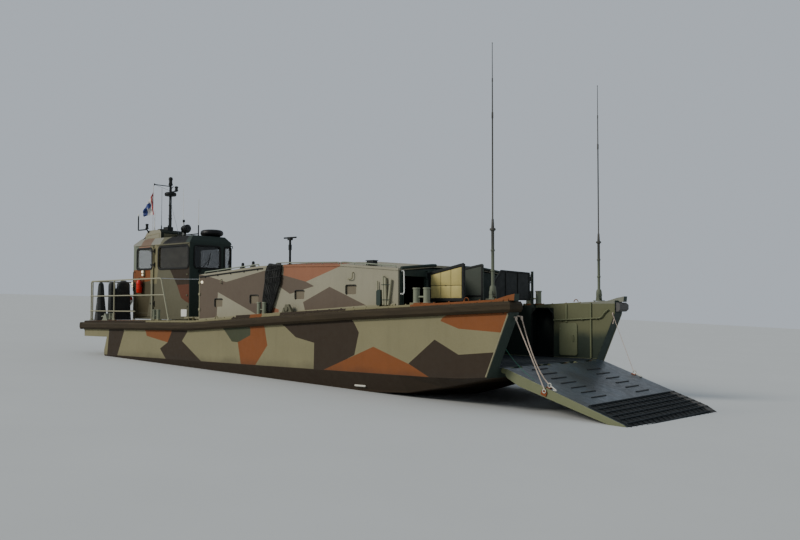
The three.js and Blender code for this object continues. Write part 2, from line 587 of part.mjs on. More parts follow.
// Gear on the wheelhouse roof
const POD = [500, 1330, -560, 260, 3500];  // its ends, sides and top
const POD_OUTLINE = [[POD[0], ROOF_TOP + GAP], [POD[1], ROOF_TOP + GAP], [POD[1], 3430],
  [POD[1] - 60, POD[4]], [POD[0] + 190, POD[4]], [POD[0], 3300]];
const MAST = [950, 0, POD[4] + 55];
const mastLugs = [-1, 1].map((k) => prism('xz', [[MAST[0] - 55, POD[4] - 10], [MAST[0] + 55, POD[4] - 10],
  [MAST[0] + 35, MAST[2] + 40], [MAST[0] - 35, MAST[2] + 40]], k * 62 - 10, k * 62 + 10));
add('roof_pod', union(prism('xz', POD_OUTLINE, POD[2], POD[3]), ...mastLugs), colour.sand);
const MAST_TOP = 5100;
const YARD_Z = 4820;
const [mx, my] = MAST;
add('mast', union(
  rod([mx, my - 40, MAST[2]], [mx, my + 40, MAST[2]], 40, 12),
  rod([mx, my, MAST[2]], [mx, my, MAST_TOP - 240], 42, 12, 34),
  rod([mx, my, MAST_TOP - 260], [mx, my, MAST_TOP], 62, 12),
  rod([mx, my - 540, YARD_Z], [mx, my + 30, YARD_Z], 14, 8),
  rod([mx, my, 4530], [mx, my, 4650], 170, 16),
  box(mx, mx + 330, my - 20, my + 20, 4640, 4670),
  rod([mx + 290, my, 4650], [mx + 290, my, 4770], 52, 10)), colour.black, 0.3);
const RADOME = [2800, 100, ROOF_TOP + GAP];
const radomeProfile = [[0, 0], [200, 0], [215, 20], [280, 24], [306, 60], [310, 110], [300, 165], [260, 200],
  [0, 212]];
const radome = new THREE.LatheGeometry(radomeProfile.map(([r, z]) => new THREE.Vector2(r, z)), 28);
radome.rotateX(Math.PI / 2);
radome.translate(...RADOME);
add('radome', toGeometry(toSolid(radome)), colour.black);
const LIGHT = [1700, 0, ROOF_TOP + GAP];
add('searchlight', union(
  rod([LIGHT[0], LIGHT[1], LIGHT[2]], [LIGHT[0], LIGHT[1], LIGHT[2] + 30], 70, 12),
  rod([LIGHT[0], LIGHT[1], LIGHT[2] + 20], [LIGHT[0], LIGHT[1], LIGHT[2] + 250], 28, 10),
  rod([LIGHT[0] - 110, LIGHT[1], LIGHT[2] + 300], [LIGHT[0] + 110, LIGHT[1], LIGHT[2] + 300], 95, 14, 110)),
colour.black);

// Stern rails
const RAIL_R = 18;
const RAIL_Z = [1190, 1600, 2010];
const RAIL_ENDS = [2410, 3710, 3570];  // forward end of each bar
const RAIL_POSTS = [230, 1400, 3170];
const RAIL_FOOT = 3920;     // foot of the sloping forward post
for (const [side, s] of SIDES) {
  const y = s * 2040;
  const foot = (x) => deck(x) + 12;
  const parts = RAIL_Z.map((z, i) => rod([230, y, z], [RAIL_ENDS[i], y, z + i * 12], RAIL_R, 8));
  for (const x of RAIL_POSTS) {
    parts.push(rod([x, y, foot(x)], [x, y, 2014 + (x - RAIL_POSTS[0]) * 0.0072], RAIL_R, 8));
  }
  parts.push(rod([RAIL_ENDS[2], y, 2034], [RAIL_FOOT, y, foot(RAIL_FOOT)], RAIL_R, 8));
  for (const x of [...RAIL_POSTS, RAIL_FOOT]) {
    parts.push(box(x - 45, x + 45, y - 45, y + 45, foot(x) - 4, foot(x) + 8));
  }
  add(`stern_rail_${side}`, union(...parts), colour.sand, 0.2);
}
const aft = RAIL_Z.map((z) => rod([170, -1960, z], [170, 1960, z], RAIL_R, 8));
for (const y of [-1960, -650, 650, 1960]) {
  aft.push(rod([170, y, deck(170) + 6], [170, y, RAIL_Z[2] + 5], RAIL_R, 8));
}
add('stern_rail_aft', union(...aft), colour.sand, 0.2);
// Covered gear inside the after rail
const COVERED = [[-1600, deck(400) + 6], [-890, deck(400) + 6], [-890, 2000], [-930, 2050],
  [-1160, 2050], [-1170, 1860], [-1380, 1840], [-1390, 2020], [-1590, 2020]];
add('stern_locker', prism('yz', COVERED, 235, 495), colour.black);

// Engine hatches between the wheelhouse and the shelter
for (const [side, s] of SIDES) {
  const y = s > 0 ? [LID[2], LID[3]] : [-LID[3], -LID[2]];
  const pinY = s * (LID[3] + LID_REACH);
  const plate = box(LID[0], LID[1], ...y, LID_Z + 20, LID_Z + 62);
  const rim = box(LID[0] + 40, LID[1] - 40, y[0] + 40, y[1] - 40, LID_Z, LID_Z + 30);
  const pins = LID_PINS.map((x) => rod([x - 70, pinY, LID_Z + 48], [x + 70, pinY, LID_Z + 48], 15, 8));
  const straps = LID_PINS.map((x) => box(x - 60, x + 60, Math.min(pinY, y[0] + 20), Math.max(pinY, y[1] - 20),
    LID_Z + 40, LID_Z + 56));
  add(`engine_hatch_${side}`, union(plate, rim, ...pins, ...straps), colour.olive);
}

// Waterjets on the transom: a housing, a nozzle that steers on an upright pin, a bucket that drops behind it
const JET = { y: 760, z: -150, r: 215, pin: 730, hinge: 510 };
for (const [side, s] of SIDES) {
  const y = s * JET.y;
  const { z, pin, hinge } = JET;
  const tube = (x0, x1, r, sides, r2) => rod([x0, y, z], [x1, y, z], r, sides, r2);
  const housing = union(tube(TUCK - GAP, pin + 88, JET.r, 20, 190),
    tube(TUCK - GAP, TUCK - 40, JET.r + 45, 20),
    ...[-1, 1].map((k) => box(pin - 40, pin + 140, y - 40, y + 40, z + k * 188 - 12, z + k * 188 + 12)));
  add(`jet_${side}`, cut(housing, tube(TUCK - 20, pin + 30, 150, 16)), colour.steel, 0.6, 0.4);
  const nozzle = cut(union(tube(pin + 5, pin - 300, 150, 20, 135),
    ...[-1, 1].map((k) => rod([pin, y, z + k * 130], [pin, y, z + k * 168], 30, 12)),
    ...[-1, 1].map((k) => rod([hinge, y + k * 120, z], [hinge, y + k * 165, z], 28, 12))),
  tube(pin + 60, pin - 350, 112, 16));
  add(`jet_nozzle_${side}`, nozzle, colour.steel, 0.6, 0.4);
  const arms = [-1, 1].map((k) => prism('xz', [[hinge - 40, z - 40], [hinge + 40, z - 40],
    [hinge + 40, z + 50], [hinge - 40, z + 250], [hinge - 280, z + 250], [hinge - 280, z + 215],
    [hinge - 80, z + 200]],
  y + (k > 0 ? 176 : -196), y + (k > 0 ? 196 : -176)));
  const scoop = prism('xz', [[hinge - 40, z + 250], [hinge - 280, z + 250], [hinge - 410, z + 120],
    [hinge - 410, z + 60], [hinge - 370, z + 60], [hinge - 370, z + 110], [hinge - 265, z + 215],
    [hinge - 40, z + 215]], y - 196, y + 196);
  add(`jet_bucket_${side}`, union(...arms, scoop), colour.steel, 0.6, 0.4);
}

// Rolled net that hangs over the shelter's side
add('net_bundle', prism('xz', [[7335, 1170], [7700, 1150], [7990, 1860], [8075, 2280], [7900, 2320],
  [7560, 2290], [7450, 1860]], -WALL[1] - 64, -WALL[1] - 14), colour.black, 0, 1);

export default craft;
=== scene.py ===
# Military landing craft with a bow ramp: its looks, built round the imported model.
# Metres. +X runs forward from the after end of the hull, +Y to port, +Z up from the waterline.
import math
import random

import bpy
import bmesh
from mathutils import Matrix, Vector


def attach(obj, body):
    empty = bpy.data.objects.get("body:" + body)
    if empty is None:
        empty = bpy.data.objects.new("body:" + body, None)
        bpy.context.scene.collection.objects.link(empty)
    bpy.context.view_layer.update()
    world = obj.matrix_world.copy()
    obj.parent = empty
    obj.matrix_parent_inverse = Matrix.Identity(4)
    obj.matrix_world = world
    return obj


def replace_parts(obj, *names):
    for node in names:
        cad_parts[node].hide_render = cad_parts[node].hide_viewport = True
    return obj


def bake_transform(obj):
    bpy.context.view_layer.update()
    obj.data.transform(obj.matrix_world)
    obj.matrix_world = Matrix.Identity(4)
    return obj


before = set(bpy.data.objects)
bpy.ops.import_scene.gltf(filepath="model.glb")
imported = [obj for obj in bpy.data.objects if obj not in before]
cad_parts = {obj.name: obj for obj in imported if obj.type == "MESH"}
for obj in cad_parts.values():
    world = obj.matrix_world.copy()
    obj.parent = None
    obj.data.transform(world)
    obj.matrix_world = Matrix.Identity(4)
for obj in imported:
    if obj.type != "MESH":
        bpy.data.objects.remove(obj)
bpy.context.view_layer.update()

SIDES = (("starboard", -1), ("port", 1))
UP = (0, 0, 1)

# Main lines of the craft, as in the part's source
BEAM = 2.15
WELL = 1.82
FLOOR = 0.24
SHEER = ((0.0, 0.88), (5.0, 0.93), (10.4, 1.25), (14.3, 1.43))
EAVES = ((4.96, 2.05), (7.2, 2.195), (8.0, 2.2), (9.9, 2.155), (11.36, 2.035))
HOUSE = (0.42, 3.14)
HOUSE_WALL = {-1: -0.87, 1: 0.53}
HINGE = (13.734, 0.19)
RAMP_DOWN = math.radians(19.4)
TREAD = 0.062


def along(table, x):
    """Height at x on a piecewise line."""
    for (x0, z0), (x1, z1) in zip(table, table[1:]):
        if x <= x1 or (x1, z1) == table[-1]:
            return z0 + (z1 - z0) * (x - x0) / (x1 - x0)


def sheer(x):
    return along(SHEER, x)


def deck(x):
    return sheer(x) + 0.045


def add(name, data):
    """A new object in the scene."""
    obj = bpy.data.objects.new(name, data)
    bpy.context.scene.collection.objects.link(obj)
    return obj


def make_camera():
    """Camera, fitted to the photograph in the craft's own frame."""
    image_width = 800
    focal_pixels = 865.24
    eye = Vector((22.422, -14.708, 1.32))
    yaw, pitch, roll = (math.radians(a) for a in (130.658, 2.445, 0.132))
    data = bpy.data.cameras.new("camera")
    data.sensor_width = 36.0
    data.lens = focal_pixels * data.sensor_width / image_width
    data.clip_start = 0.1
    data.clip_end = 400
    ahead = Vector((math.cos(pitch) * math.cos(yaw), math.cos(pitch) * math.sin(yaw), math.sin(pitch)))
    level = Vector((math.sin(yaw), -math.cos(yaw), 0))
    above = level.cross(ahead)
    right = level * math.cos(roll) + above * math.sin(roll)
    up = above * math.cos(roll) - level * math.sin(roll)
    camera = add("camera", data)
    camera.matrix_world = Matrix.Translation(eye) @ Matrix((right, up, -ahead)).transposed().to_4x4()
    bpy.context.scene.camera = camera


make_camera()


# Solids: each function gives (points, faces)

PLANES = {"xy": lambda u, v, w: (u, v, w), "xz": lambda u, v, w: (u, w, v), "yz": lambda u, v, w: (w, u, v)}


def turns(n, span=2 * math.pi):
    return [span * k / n for k in range(n)]


def skin(rows, sides, closed=False):
    """Faces over rows of points, each row a closed loop. Open ends are filled."""
    faces = []
    for i in range(rows if closed else rows - 1):
        near, far = i * sides, (i + 1) % rows * sides
        faces += [(near + k, near + (k + 1) % sides, far + (k + 1) % sides, far + k) for k in range(sides)]
    last = (rows - 1) * sides
    return faces if closed else faces + [tuple(range(sides - 1, -1, -1)), tuple(range(last, last + sides))]


def quilt(rows, columns, base=0):
    """Faces over an open grid of points."""
    wide = columns + 1
    starts = [base + i * wide + j for i in range(rows) for j in range(columns)]
    return [(a, a + 1, a + wide + 1, a + wide) for a in starts]


def rect(u0, u1, v0, v1, inset=0.0):
    return [(u0 + inset, v0 + inset), (u1 - inset, v0 + inset), (u1 - inset, v1 - inset),
            (u0 + inset, v1 - inset)]


def rounded(u0, u1, v0, v1, r, steps=5):
    """Outline of a rectangle with round corners."""
    outline = []
    for quarter, (u, v) in enumerate(((u1 - r, v1 - r), (u0 + r, v1 - r), (u0 + r, v0 + r),
                                      (u1 - r, v0 + r))):
        for a in ((quarter + i / steps) * math.pi / 2 for i in range(steps + 1)):
            outline.append((u + r * math.cos(a), v + r * math.sin(a)))
    return outline


def prism(plane, outline, a, b):
    """A flat outline, extruded from a to b across its plane."""
    n = len(outline)
    points = [PLANES[plane](u, v, w) for w in (a, b) for u, v in outline]
    faces = [(i, (i + 1) % n, n + (i + 1) % n, n + i) for i in range(n)]
    return points, faces + [tuple(range(n - 1, -1, -1)), tuple(range(n, 2 * n))]


def box(x0, x1, y0, y1, z0, z1):
    return prism("xy", rect(x0, x1, y0, y1), z0, z1)


def ring(plane, outer, inner, a, b):
    """A flat frame between two outlines with the same count of points."""
    n = len(outer)
    points = [PLANES[plane](u, v, w) for w in (a, b) for line in (outer, inner) for u, v in line]
    faces = []
    for i in range(n):
        j = (i + 1) % n
        faces += [(p + i, p + j, q + j, q + i) for p, q in ((0, n), (3 * n, 2 * n), (2 * n, 0), (n, 3 * n))]
    return points, faces


def lathe(origin, axis, profile, sides=24):
    """A turned body: profile holds (radius, distance along the axis), from one end to the other."""
    origin, axis = Vector(origin), Vector(axis).normalized()
    side = axis.orthogonal().normalized()
    other = axis.cross(side)
    points = []
    for r, h in profile:
        points += [origin + axis * h + (side * math.cos(a) + other * math.sin(a)) * r for a in turns(sides)]
    return points, skin(len(profile), sides)


def turned(x, y, z, profile, sides=24):
    """A turned body that stands upright: profile holds (radius, height)."""
    return lathe((x, y, z), UP, profile, sides)


def band(r, wide, thick=0.002, edge=0.004):
    """Profile of a flat ring round a bar of radius r."""
    return [(r, 0), (r + thick, edge), (r + thick, wide - edge), (r, wide)]


def rod(a, b, r, r2=None, sides=16):
    a, b = Vector(a), Vector(b)
    return lathe(a, b - a, [(r, 0), (r if r2 is None else r2, (b - a).length)], sides)


def neighbours(path, i, closed=False):
    n = len(path)
    return path[i - 1] if i or closed else path[i], path[(i + 1) % n] if i < n - 1 or closed else path[i]


def tube(path, r, sides=10, closed=False):
    """A round bar along a path."""
    path = [Vector(p) for p in path]
    points, normal = [], None
    for i, p in enumerate(path):
        before, after = neighbours(path, i, closed)
        tangent = (after - before).normalized()
        if normal is None:
            normal = tangent.orthogonal()
        normal = (normal - tangent * normal.dot(tangent)).normalized()
        other = tangent.cross(normal)
        points += [p + (normal * math.cos(a) + other * math.sin(a)) * r for a in turns(sides)]
    return points, skin(len(path), sides, closed)


def bent(corners, r, steps=5):
    """A path with its inner corners rounded to radius r."""
    corners = [Vector(p) for p in corners]
    path = [corners[0]]
    for before, p, after in zip(corners, corners[1:], corners[2:]):
        reach = min(r, (before - p).length / 2.1, (after - p).length / 2.1)
        a, b = p + (before - p).normalized() * reach, p + (after - p).normalized() * reach
        path += [a * (1 - t) ** 2 + p * 2 * t * (1 - t) + b * t ** 2
                 for t in (k / steps for k in range(steps + 1))]
    return path + [corners[-1]]


def pipe(corners, bend, r, sides=10):
    """A round bar with bent corners."""
    return tube(bent(corners, bend), r, sides)


def handle(a, b, reach, bend, r):
    """A round bar from a to b that stands off them by the vector reach."""
    a, b, reach = Vector(a), Vector(b), Vector(reach)
    return pipe([a, a + reach, b + reach, b], bend, r)


def hoop(centre, across, up, r, count, sides=8):
    """A round bar bent to a closed oval with the half axes across and up."""
    centre, across, up = Vector(centre), Vector(across), Vector(up)
    return tube([centre + across * math.cos(a) + up * math.sin(a) for a in turns(count)], r, sides, True)


def strip(path, wide, low, high):
    """A flat bar along a level path, to the right of it."""
    path = [Vector(p) for p in path]
    points = []
    for i, p in enumerate(path):
        before, after = neighbours(path, i)
        first = (p - before if i else after - p).normalized()
        second = (after - p if i < len(path) - 1 else p - before).normalized()
        right = (first + second).cross(Vector(UP)).normalized()
        stretch = 1 / max(right.dot(first.cross(Vector(UP)).normalized()), 0.3)
        points += [p + right * (u * stretch) + Vector((0, 0, v))
                   for u, v in ((0, low), (wide, low), (wide, high), (0, high))]
    return points, skin(len(path), 4)


def bolts(places, axis, r=0.011, high=0.008):
    """Domed heads at places."""
    return [lathe(p, axis, [(r, 0), (r, high * 0.4), (r * 0.6, high)], 8) for p in places]


def moved(part, matrix):
    return ([matrix @ Vector(p) for p in part[0]], *part[1:])


def mirrored(part):
    return ([(p[0], -p[1], p[2]) for p in part[0]], *part[1:])


def painted(*slots):
    """Gives each list of parts the material slot of its place."""
    return [(*part[:2], index) for index, parts in enumerate(slots) for part in parts]


def piece(name, parts, materials, slot, body="craft", bevel=0.0, smooth=35):
    """One mesh of parts, which rides on a body. Each part may carry a material's number."""
    points, faces, numbers = [], [], []
    for part in parts:
        base = len(points)
        points += [tuple(p) for p in part[0]]
        faces += [tuple(base + i for i in face) for face in part[1]]
        numbers += [part[2] if len(part) > 2 else 0] * len(part[1])
    mesh = bpy.data.meshes.new(name)
    mesh.from_pydata(points, [], faces)
    mesh.polygons.foreach_set("material_index", numbers)
    bm = bmesh.new()
    bm.from_mesh(mesh)
    bmesh.ops.recalc_face_normals(bm, faces=bm.faces)
    bm.to_mesh(mesh)
    bm.free()
    for material in materials.split():
        mesh.materials.append(M[material])
    mesh.shade_smooth()
    mesh.set_sharp_from_angle(angle=math.radians(smooth))
    obj = add(name, mesh)
    if bevel:
        modifier = obj.modifiers.new("bevel", "BEVEL")
        modifier.width = bevel
        modifier.segments = 2
        modifier.limit_method = "ANGLE"
        modifier.angle_limit = math.radians(40)
        modifier.use_clamp_overlap = True
    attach(obj, body)
    return obj


def pair(name, parts, materials, slot, body="craft", **finish):
    """A piece drawn to starboard, and its mirror image to port."""
    both_sides = (parts, [mirrored(p) for p in parts])
    return [piece(f"{name}_{side}", drawn, materials, slot, body.format(side), **finish)
            for (side, _), drawn in zip(SIDES, both_sides)]


# Materials

def tint(code):
    """Linear colour of an sRGB hex code."""
    parts = [int(code[i:i + 2], 16) / 255 for i in (0, 2, 4)]
    return tuple(c / 12.92 if c <= 0.04045 else ((c + 0.055) / 1.055) ** 2.4 for c in parts) + (1.0,)


class Graph:
    """The nodes of one material."""

    def __init__(self, name, roughness=0.6, metallic=0.0, specular=0.22):
        self.material = bpy.data.materials.new(name)
        self.material.use_nodes = True
        self.tree = self.material.node_tree
        self.shader = self.tree.nodes["Principled BSDF"]
        self.set("Roughness", roughness)
        self.set("Metallic", metallic)
        self.set("Specular IOR Level", specular)
        place = self.tree.nodes.new("ShaderNodeTexCoord")
        self.place = place.outputs["Object"]
        self.x, self.y, self.z = self.split(self.place)
        self.nx, self.ny, self.nz = self.split(place.outputs["Normal"])
        self.beam = self.math("ABSOLUTE", self.y)
        self.across = self.math("ABSOLUTE", self.ny)

    def set(self, name, value):
        self.put(value, self.shader.inputs[name])

    def put(self, value, socket):
        if isinstance(value, bpy.types.NodeSocket):
            self.tree.links.new(value, socket)
        else:
            socket.default_value = value

    def node(self, kind, values=(), **settings):
        node = self.tree.nodes.new("ShaderNode" + kind)
        for key, value in settings.items():
            setattr(node, key, value)
        for name, value in dict(values).items():
            self.put(value, node.inputs[name])
        return node

    def split(self, vector):
        return self.node("SeparateXYZ", {0: vector}).outputs[:3]

    def math(self, operation, a, b=0.0):
        return self.node("Math", {0: a, 1: b}, operation=operation).outputs[0]

    def vectors(self, operation, a, b, output=0):
        return self.node("VectorMath", {0: a, 1: b}, operation=operation).outputs[output]

    def above(self, value, limit):
        return self.math("GREATER_THAN", value, limit)

    def all(self, first, *rest):
        for mask in rest:
            first = self.math("MULTIPLY", first, mask)
        return first

    def zone(self, **ranges):
        """1 where each named value is inside its range. None leaves a range open."""
        masks = []
        for name, (low, high) in ranges.items():
            value = getattr(self, name)
            masks += [self.above(value, low)] if low is not None else []
            masks += [self.math("LESS_THAN", value, high)] if high is not None else []
        return self.all(*masks)

    def fade(self, value, low, high):
        """0 at low, 1 at high, and smooth between."""
        return self.node("MapRange", {0: value, 1: low, 2: high}, interpolation_type="SMOOTHSTEP").outputs[0]

    def mix(self, factor, a, b):
        return self.node("Mix", {0: factor, 6: a, 7: b}, data_type="RGBA").outputs[2]

    def over(self, colour, *layers):
        """Lays colours over one another, each with its mask."""
        for mask, code in layers:
            colour = self.mix(mask, colour, tint(code))
        return colour

    def noise(self, scale, detail=4.0, stretch=None):
        place = self.vectors("MULTIPLY", self.place, stretch) if stretch else self.place
        return self.node("TexNoise", {"Vector": place, "Scale": scale, "Detail": detail,
                                      "Roughness": 0.6}).outputs[0]

    def cloud(self, low, high, amount, *noise):
        """Patches of noise, up to an amount."""
        return self.math("MULTIPLY", self.fade(self.noise(*noise), low, high), amount)

    def uneven_height(self, scale, amount):
        return self.math("ADD", self.z, self.math("MULTIPLY", self.noise(scale), amount))

    def half_plane(self, coordinates, a, b, inside):
        """Distance from the line through a and b, positive on the side of the point inside."""
        normal = Vector((b[1] - a[1], a[0] - b[0])).normalized()
        offset = normal.dot(Vector(a))
        if normal.dot(Vector(inside)) < offset:
            normal, offset = -normal, -offset
        return self.vectors("DOT_PRODUCT", coordinates, (normal.x, normal.y, -offset), 1)

    def camouflage(self, ground, patches, v):
        """Flat convex patches of colour over the ground. Later ones lie on earlier ones."""
        coordinates = self.node("CombineXYZ", {0: self.x, 1: v, 2: 1.0}).outputs[0]
        colour = ground
        for shade, outline in patches:
            middle = sum((Vector(p) for p in outline), Vector((0, 0))) / len(outline)
            edges = [self.half_plane(coordinates, a, b, middle)
                     for a, b in zip(outline, outline[1:] + outline[:1])]
            nearest = edges[0]
            for edge in edges[1:]:
                nearest = self.math("MINIMUM", nearest, edge)
            colour = self.mix(self.above(nearest, 0.0), colour, shade)
        return colour

    def coat(self, ground, sides, tops, level):
        """Camouflage with its own patches on the sides and on what faces up."""
        return self.mix(self.above(self.nz, level), self.camouflage(ground, sides, self.z),
                        self.camouflage(ground, tops, self.y))

    def edges(self, radius=0.012):
        """1 on the craft's sharp edges and corners."""
        bevel = self.node("Bevel", {"Radius": radius}, samples=4).outputs[0]
        straight = self.node("NewGeometry").outputs["True Normal"]
        return self.fade(self.vectors("DOT_PRODUCT", bevel, straight, 1), 0.985, 0.9)

    def weather(self, colour, grain=0.35, streak=0.3, worn=0.5, bare=None, bump=0.0006, rounding=0.008):
        """Soft blotches, rain streaks, fine grain and worn edges over a paint, with its bump and gloss."""
        colour = self.mix(self.cloud(0.35, 0.75, grain, 1.3, 5.0), colour, self.lighter(colour, 1.22))
        runs = self.cloud(0.5, 0.75, streak, 1.0, 5.0, (7.0, 7.0, 0.5))
        colour = self.mix(runs, colour, self.lighter(colour, 0.7))
        fine = self.noise(45.0, 3.0)
        speck = self.fade(fine, 0.3, 0.7)
        colour = self.mix(0.12, colour, self.mix(speck, self.lighter(colour, 0.75),
                                                 self.lighter(colour, 1.3)))
        if worn:
            mask = self.all(self.edges(), self.fade(self.noise(24.0), 0.48, 0.6), worn)
            colour = self.mix(mask, colour, tint(bare) if bare else self.lighter(colour, 1.8))
        self.set("Base Color", colour)
        base = self.shader.inputs["Roughness"].default_value
        rough = self.node("MapRange", {0: self.noise(9.0), 1: 0.3, 2: 0.7, 3: base - 0.09, 4: base + 0.09})
        self.set("Roughness", rough.outputs[0])
        height = self.math("ADD", self.math("MULTIPLY", fine, 0.4), self.noise(140.0, 2.0))
        return self.relief(height, bump, rounding)

    def lighter(self, colour, factor):
        values = {0: colour[:3] if isinstance(colour, tuple) else colour, "Scale": factor}
        return self.node("VectorMath", values, operation="SCALE").outputs[0]

    def relief(self, height, distance, rounding=0.0):
        values = {"Height": height, "Distance": distance, "Strength": 1.0}
        if rounding:
            values["Normal"] = self.node("Bevel", {"Radius": rounding}, samples=4).outputs[0]
        self.set("Normal", self.node("Bump", values).outputs[0])
        return self.material


# Painted shade: the hull's sand and orange are darker copies of the paler sand and orange on the shelter and
# pod, one paint each.
SAND, OLIVE, BROWN, ORANGE, TAUPE = (tint(c) for c in ("777255", "3b3f2c", "2f2519", "74431f", "584d41"))
LIT_SAND, LIT_ORANGE, PALE_OLIVE = tint("898572"), tint("865a42"), tint("5b5947")

# Camouflage: outlines in metres, fore-and-aft and up, or fore-and-aft and across
HULL_PATCHES = (
    (BROWN, ((1.0, -0.3), (1.36, 0.66), (1.4, 1.0), (2.25, 1.0), (1.62, -0.3))),
    (ORANGE, ((3.04, 0.8), (4.31, 0.8), (4.05, 0.43), (3.14, 0.57))),
    (BROWN, ((4.28, 0.8), (4.95, 0.8), (4.65, 0.48), (4.05, 0.43))),
    (BROWN, ((4.05, 0.43), (4.65, 0.48), (5.46, 0.0), (4.0, 0.0), (3.73, 0.27))),
    (ORANGE, ((7.22, 1.0), (7.67, 1.0), (7.8, 0.47), (7.38, 0.0), (6.9, 0.0), (6.78, 0.51))),
    (OLIVE, ((6.16, 0.9), (7.22, 0.9), (7.22, 0.68), (6.78, 0.51), (6.57, 0.52))),
    (BROWN, ((8.2, 1.0), (10.36, 1.1), (10.56, 0.81), (10.54, 0.72), (9.28, 0.57), (8.72, 0.67))),
    (BROWN, ((9.28, 0.58), (10.56, 0.81), (10.44, 0.36), (9.58, 0.0), (9.27, 0.0))),
    (ORANGE, ((9.5, 0.0), (10.95, 0.54), (12.6, 0.0))),
    (BROWN, ((11.85, 0.25), (12.48, 0.72), (13.29, 0.34), (13.4, 0.0), (12.4, 0.0))),
    (BROWN, ((13.02, 0.46), (14.0, 0.55), (13.9, 0.0), (12.8, 0.0))),
    (ORANGE, ((12.66, 1.12), (12.8, 1.3), (14.4, 1.4), (14.3, 0.86), (13.03, 0.93), (12.57, 1.08))),
    (BROWN, ((-0.1, 0.86), (3.1, 0.9), (3.1, 1.2), (-0.1, 1.2))),
    (BROWN, ((6.56, 1.03), (7.2, 1.065), (7.2, 1.3), (6.56, 1.3))),
    (ORANGE, ((7.2, 1.065), (7.61, 1.09), (7.61, 1.3), (7.2, 1.3))),
    (BROWN, ((8.21, 1.125), (10.2, 1.245), (10.2, 1.5), (8.21, 1.5))),
    (ORANGE, ((11.9, 1.325), (14.4, 1.44), (14.4, 1.7), (11.9, 1.7))),
)
SHELTER_PATCHES = (
    (TAUPE, ((4.9, 0.9), (4.9, 2.12), (5.22, 2.06), (5.69, 1.68), (5.64, 0.9))),
    (TAUPE, ((5.99, 1.9), (7.42, 2.14), (7.42, 1.03), (5.61, 1.69))),
    (TAUPE, ((5.2, 2.07), (5.99, 1.9), (5.61, 1.69))),
    (LIT_ORANGE, ((8.02, 2.3), (8.01, 2.0), (8.74, 1.86), (9.79, 2.17), (9.7, 2.3))),
    (TAUPE, ((7.7, 2.08), (8.74, 1.86), (8.99, 1.76), (8.23, 1.6), (7.6, 1.9))),
    (TAUPE, ((8.65, 1.42), (9.46, 1.74), (10.7, 1.28), (8.76, 1.1))),
    (LIT_ORANGE, ((7.5, 1.1), (7.7, 1.3), (7.86, 1.26), (7.9, 1.08))),
)
HOUSE_PATCHES = (
    (tint("6a7163"), ((0.3, 3.3), (0.3, 2.36), (1.36, 2.3), (1.36, 3.3))),
    (tint("8f6f5c"), ((0.66, 3.3), (0.8, 2.95), (1.34, 2.93), (1.34, 3.3))),
    (SAND, ((1.36, 1.95), (1.36, 3.3), (1.8, 3.3), (1.62, 1.95))),
    (BROWN, ((2.24, 2.33), (2.6, 1.87), (3.2, 1.92), (3.2, 2.4))),
    # Painted shade: a darker orange low at the wheelhouse's forward end.
    (tint("573322"), ((2.58, 1.9), (3.2, 1.92), (3.2, 1.38), (2.99, 1.45), (2.77, 1.55))),
    (ORANGE, ((0.3, 2.34), (0.3, 1.95), (1.36, 2.02), (1.36, 2.38))),
    (tint("47422f"), ((0.3, 1.96), (0.3, 0.9), (1.2, 0.9), (1.36, 1.6), (1.36, 2.03))),
)
DECK_PATCHES = (
    (ORANGE, ((11.95, -2.3), (12.25, -1.7), (14.4, -1.7), (14.4, -2.3))),
    (BROWN, ((6.7, 1.7), (8.9, 1.7), (9.6, 2.3), (6.2, 2.3))),
    (ORANGE, ((0.4, -2.3), (0.1, -0.9), (2.2, -1.4), (1.8, -2.3))),
    (BROWN, ((3.1, -0.2), (3.4, 2.3), (5.2, 2.3), (4.4, 0.4))),
)
ROOF_PATCHES = (
    (TAUPE, ((4.9, -2.0), (4.9, 0.6), (6.3, 1.2), (7.4, -0.4), (6.6, -2.0))),
    (ORANGE, ((8.0, -2.0), (8.2, -0.7), (9.3, -0.2), (9.8, -2.0))),
    (TAUPE, ((8.9, 0.4), (9.6, 2.0), (11.4, 2.0), (10.6, 0.2))),
    (BROWN, ((6.6, 2.0), (7.2, 0.9), (8.3, 1.3), (8.5, 2.0))),
)
HOUSE_ROOF_PATCHES = (
    (tint("7c7c72"), ((0.3, -1.0), (0.3, 1.0), (1.3, 1.0), (1.8, -1.0))),
    (tint("6b5848"), ((0.85, -1.0), (0.8, -0.74), (1.28, -0.68), (1.36, -1.0))),
    (tint("060605"), ((1.72, -1.0), (1.98, -0.78), (2.38, -0.6), (2.9, -0.6), (3.0, -1.0))),
    (tint("27322d"), ((2.98, -1.0), (2.88, -0.6), (2.6, 1.0), (3.3, 1.0), (3.3, -1.0))),
)


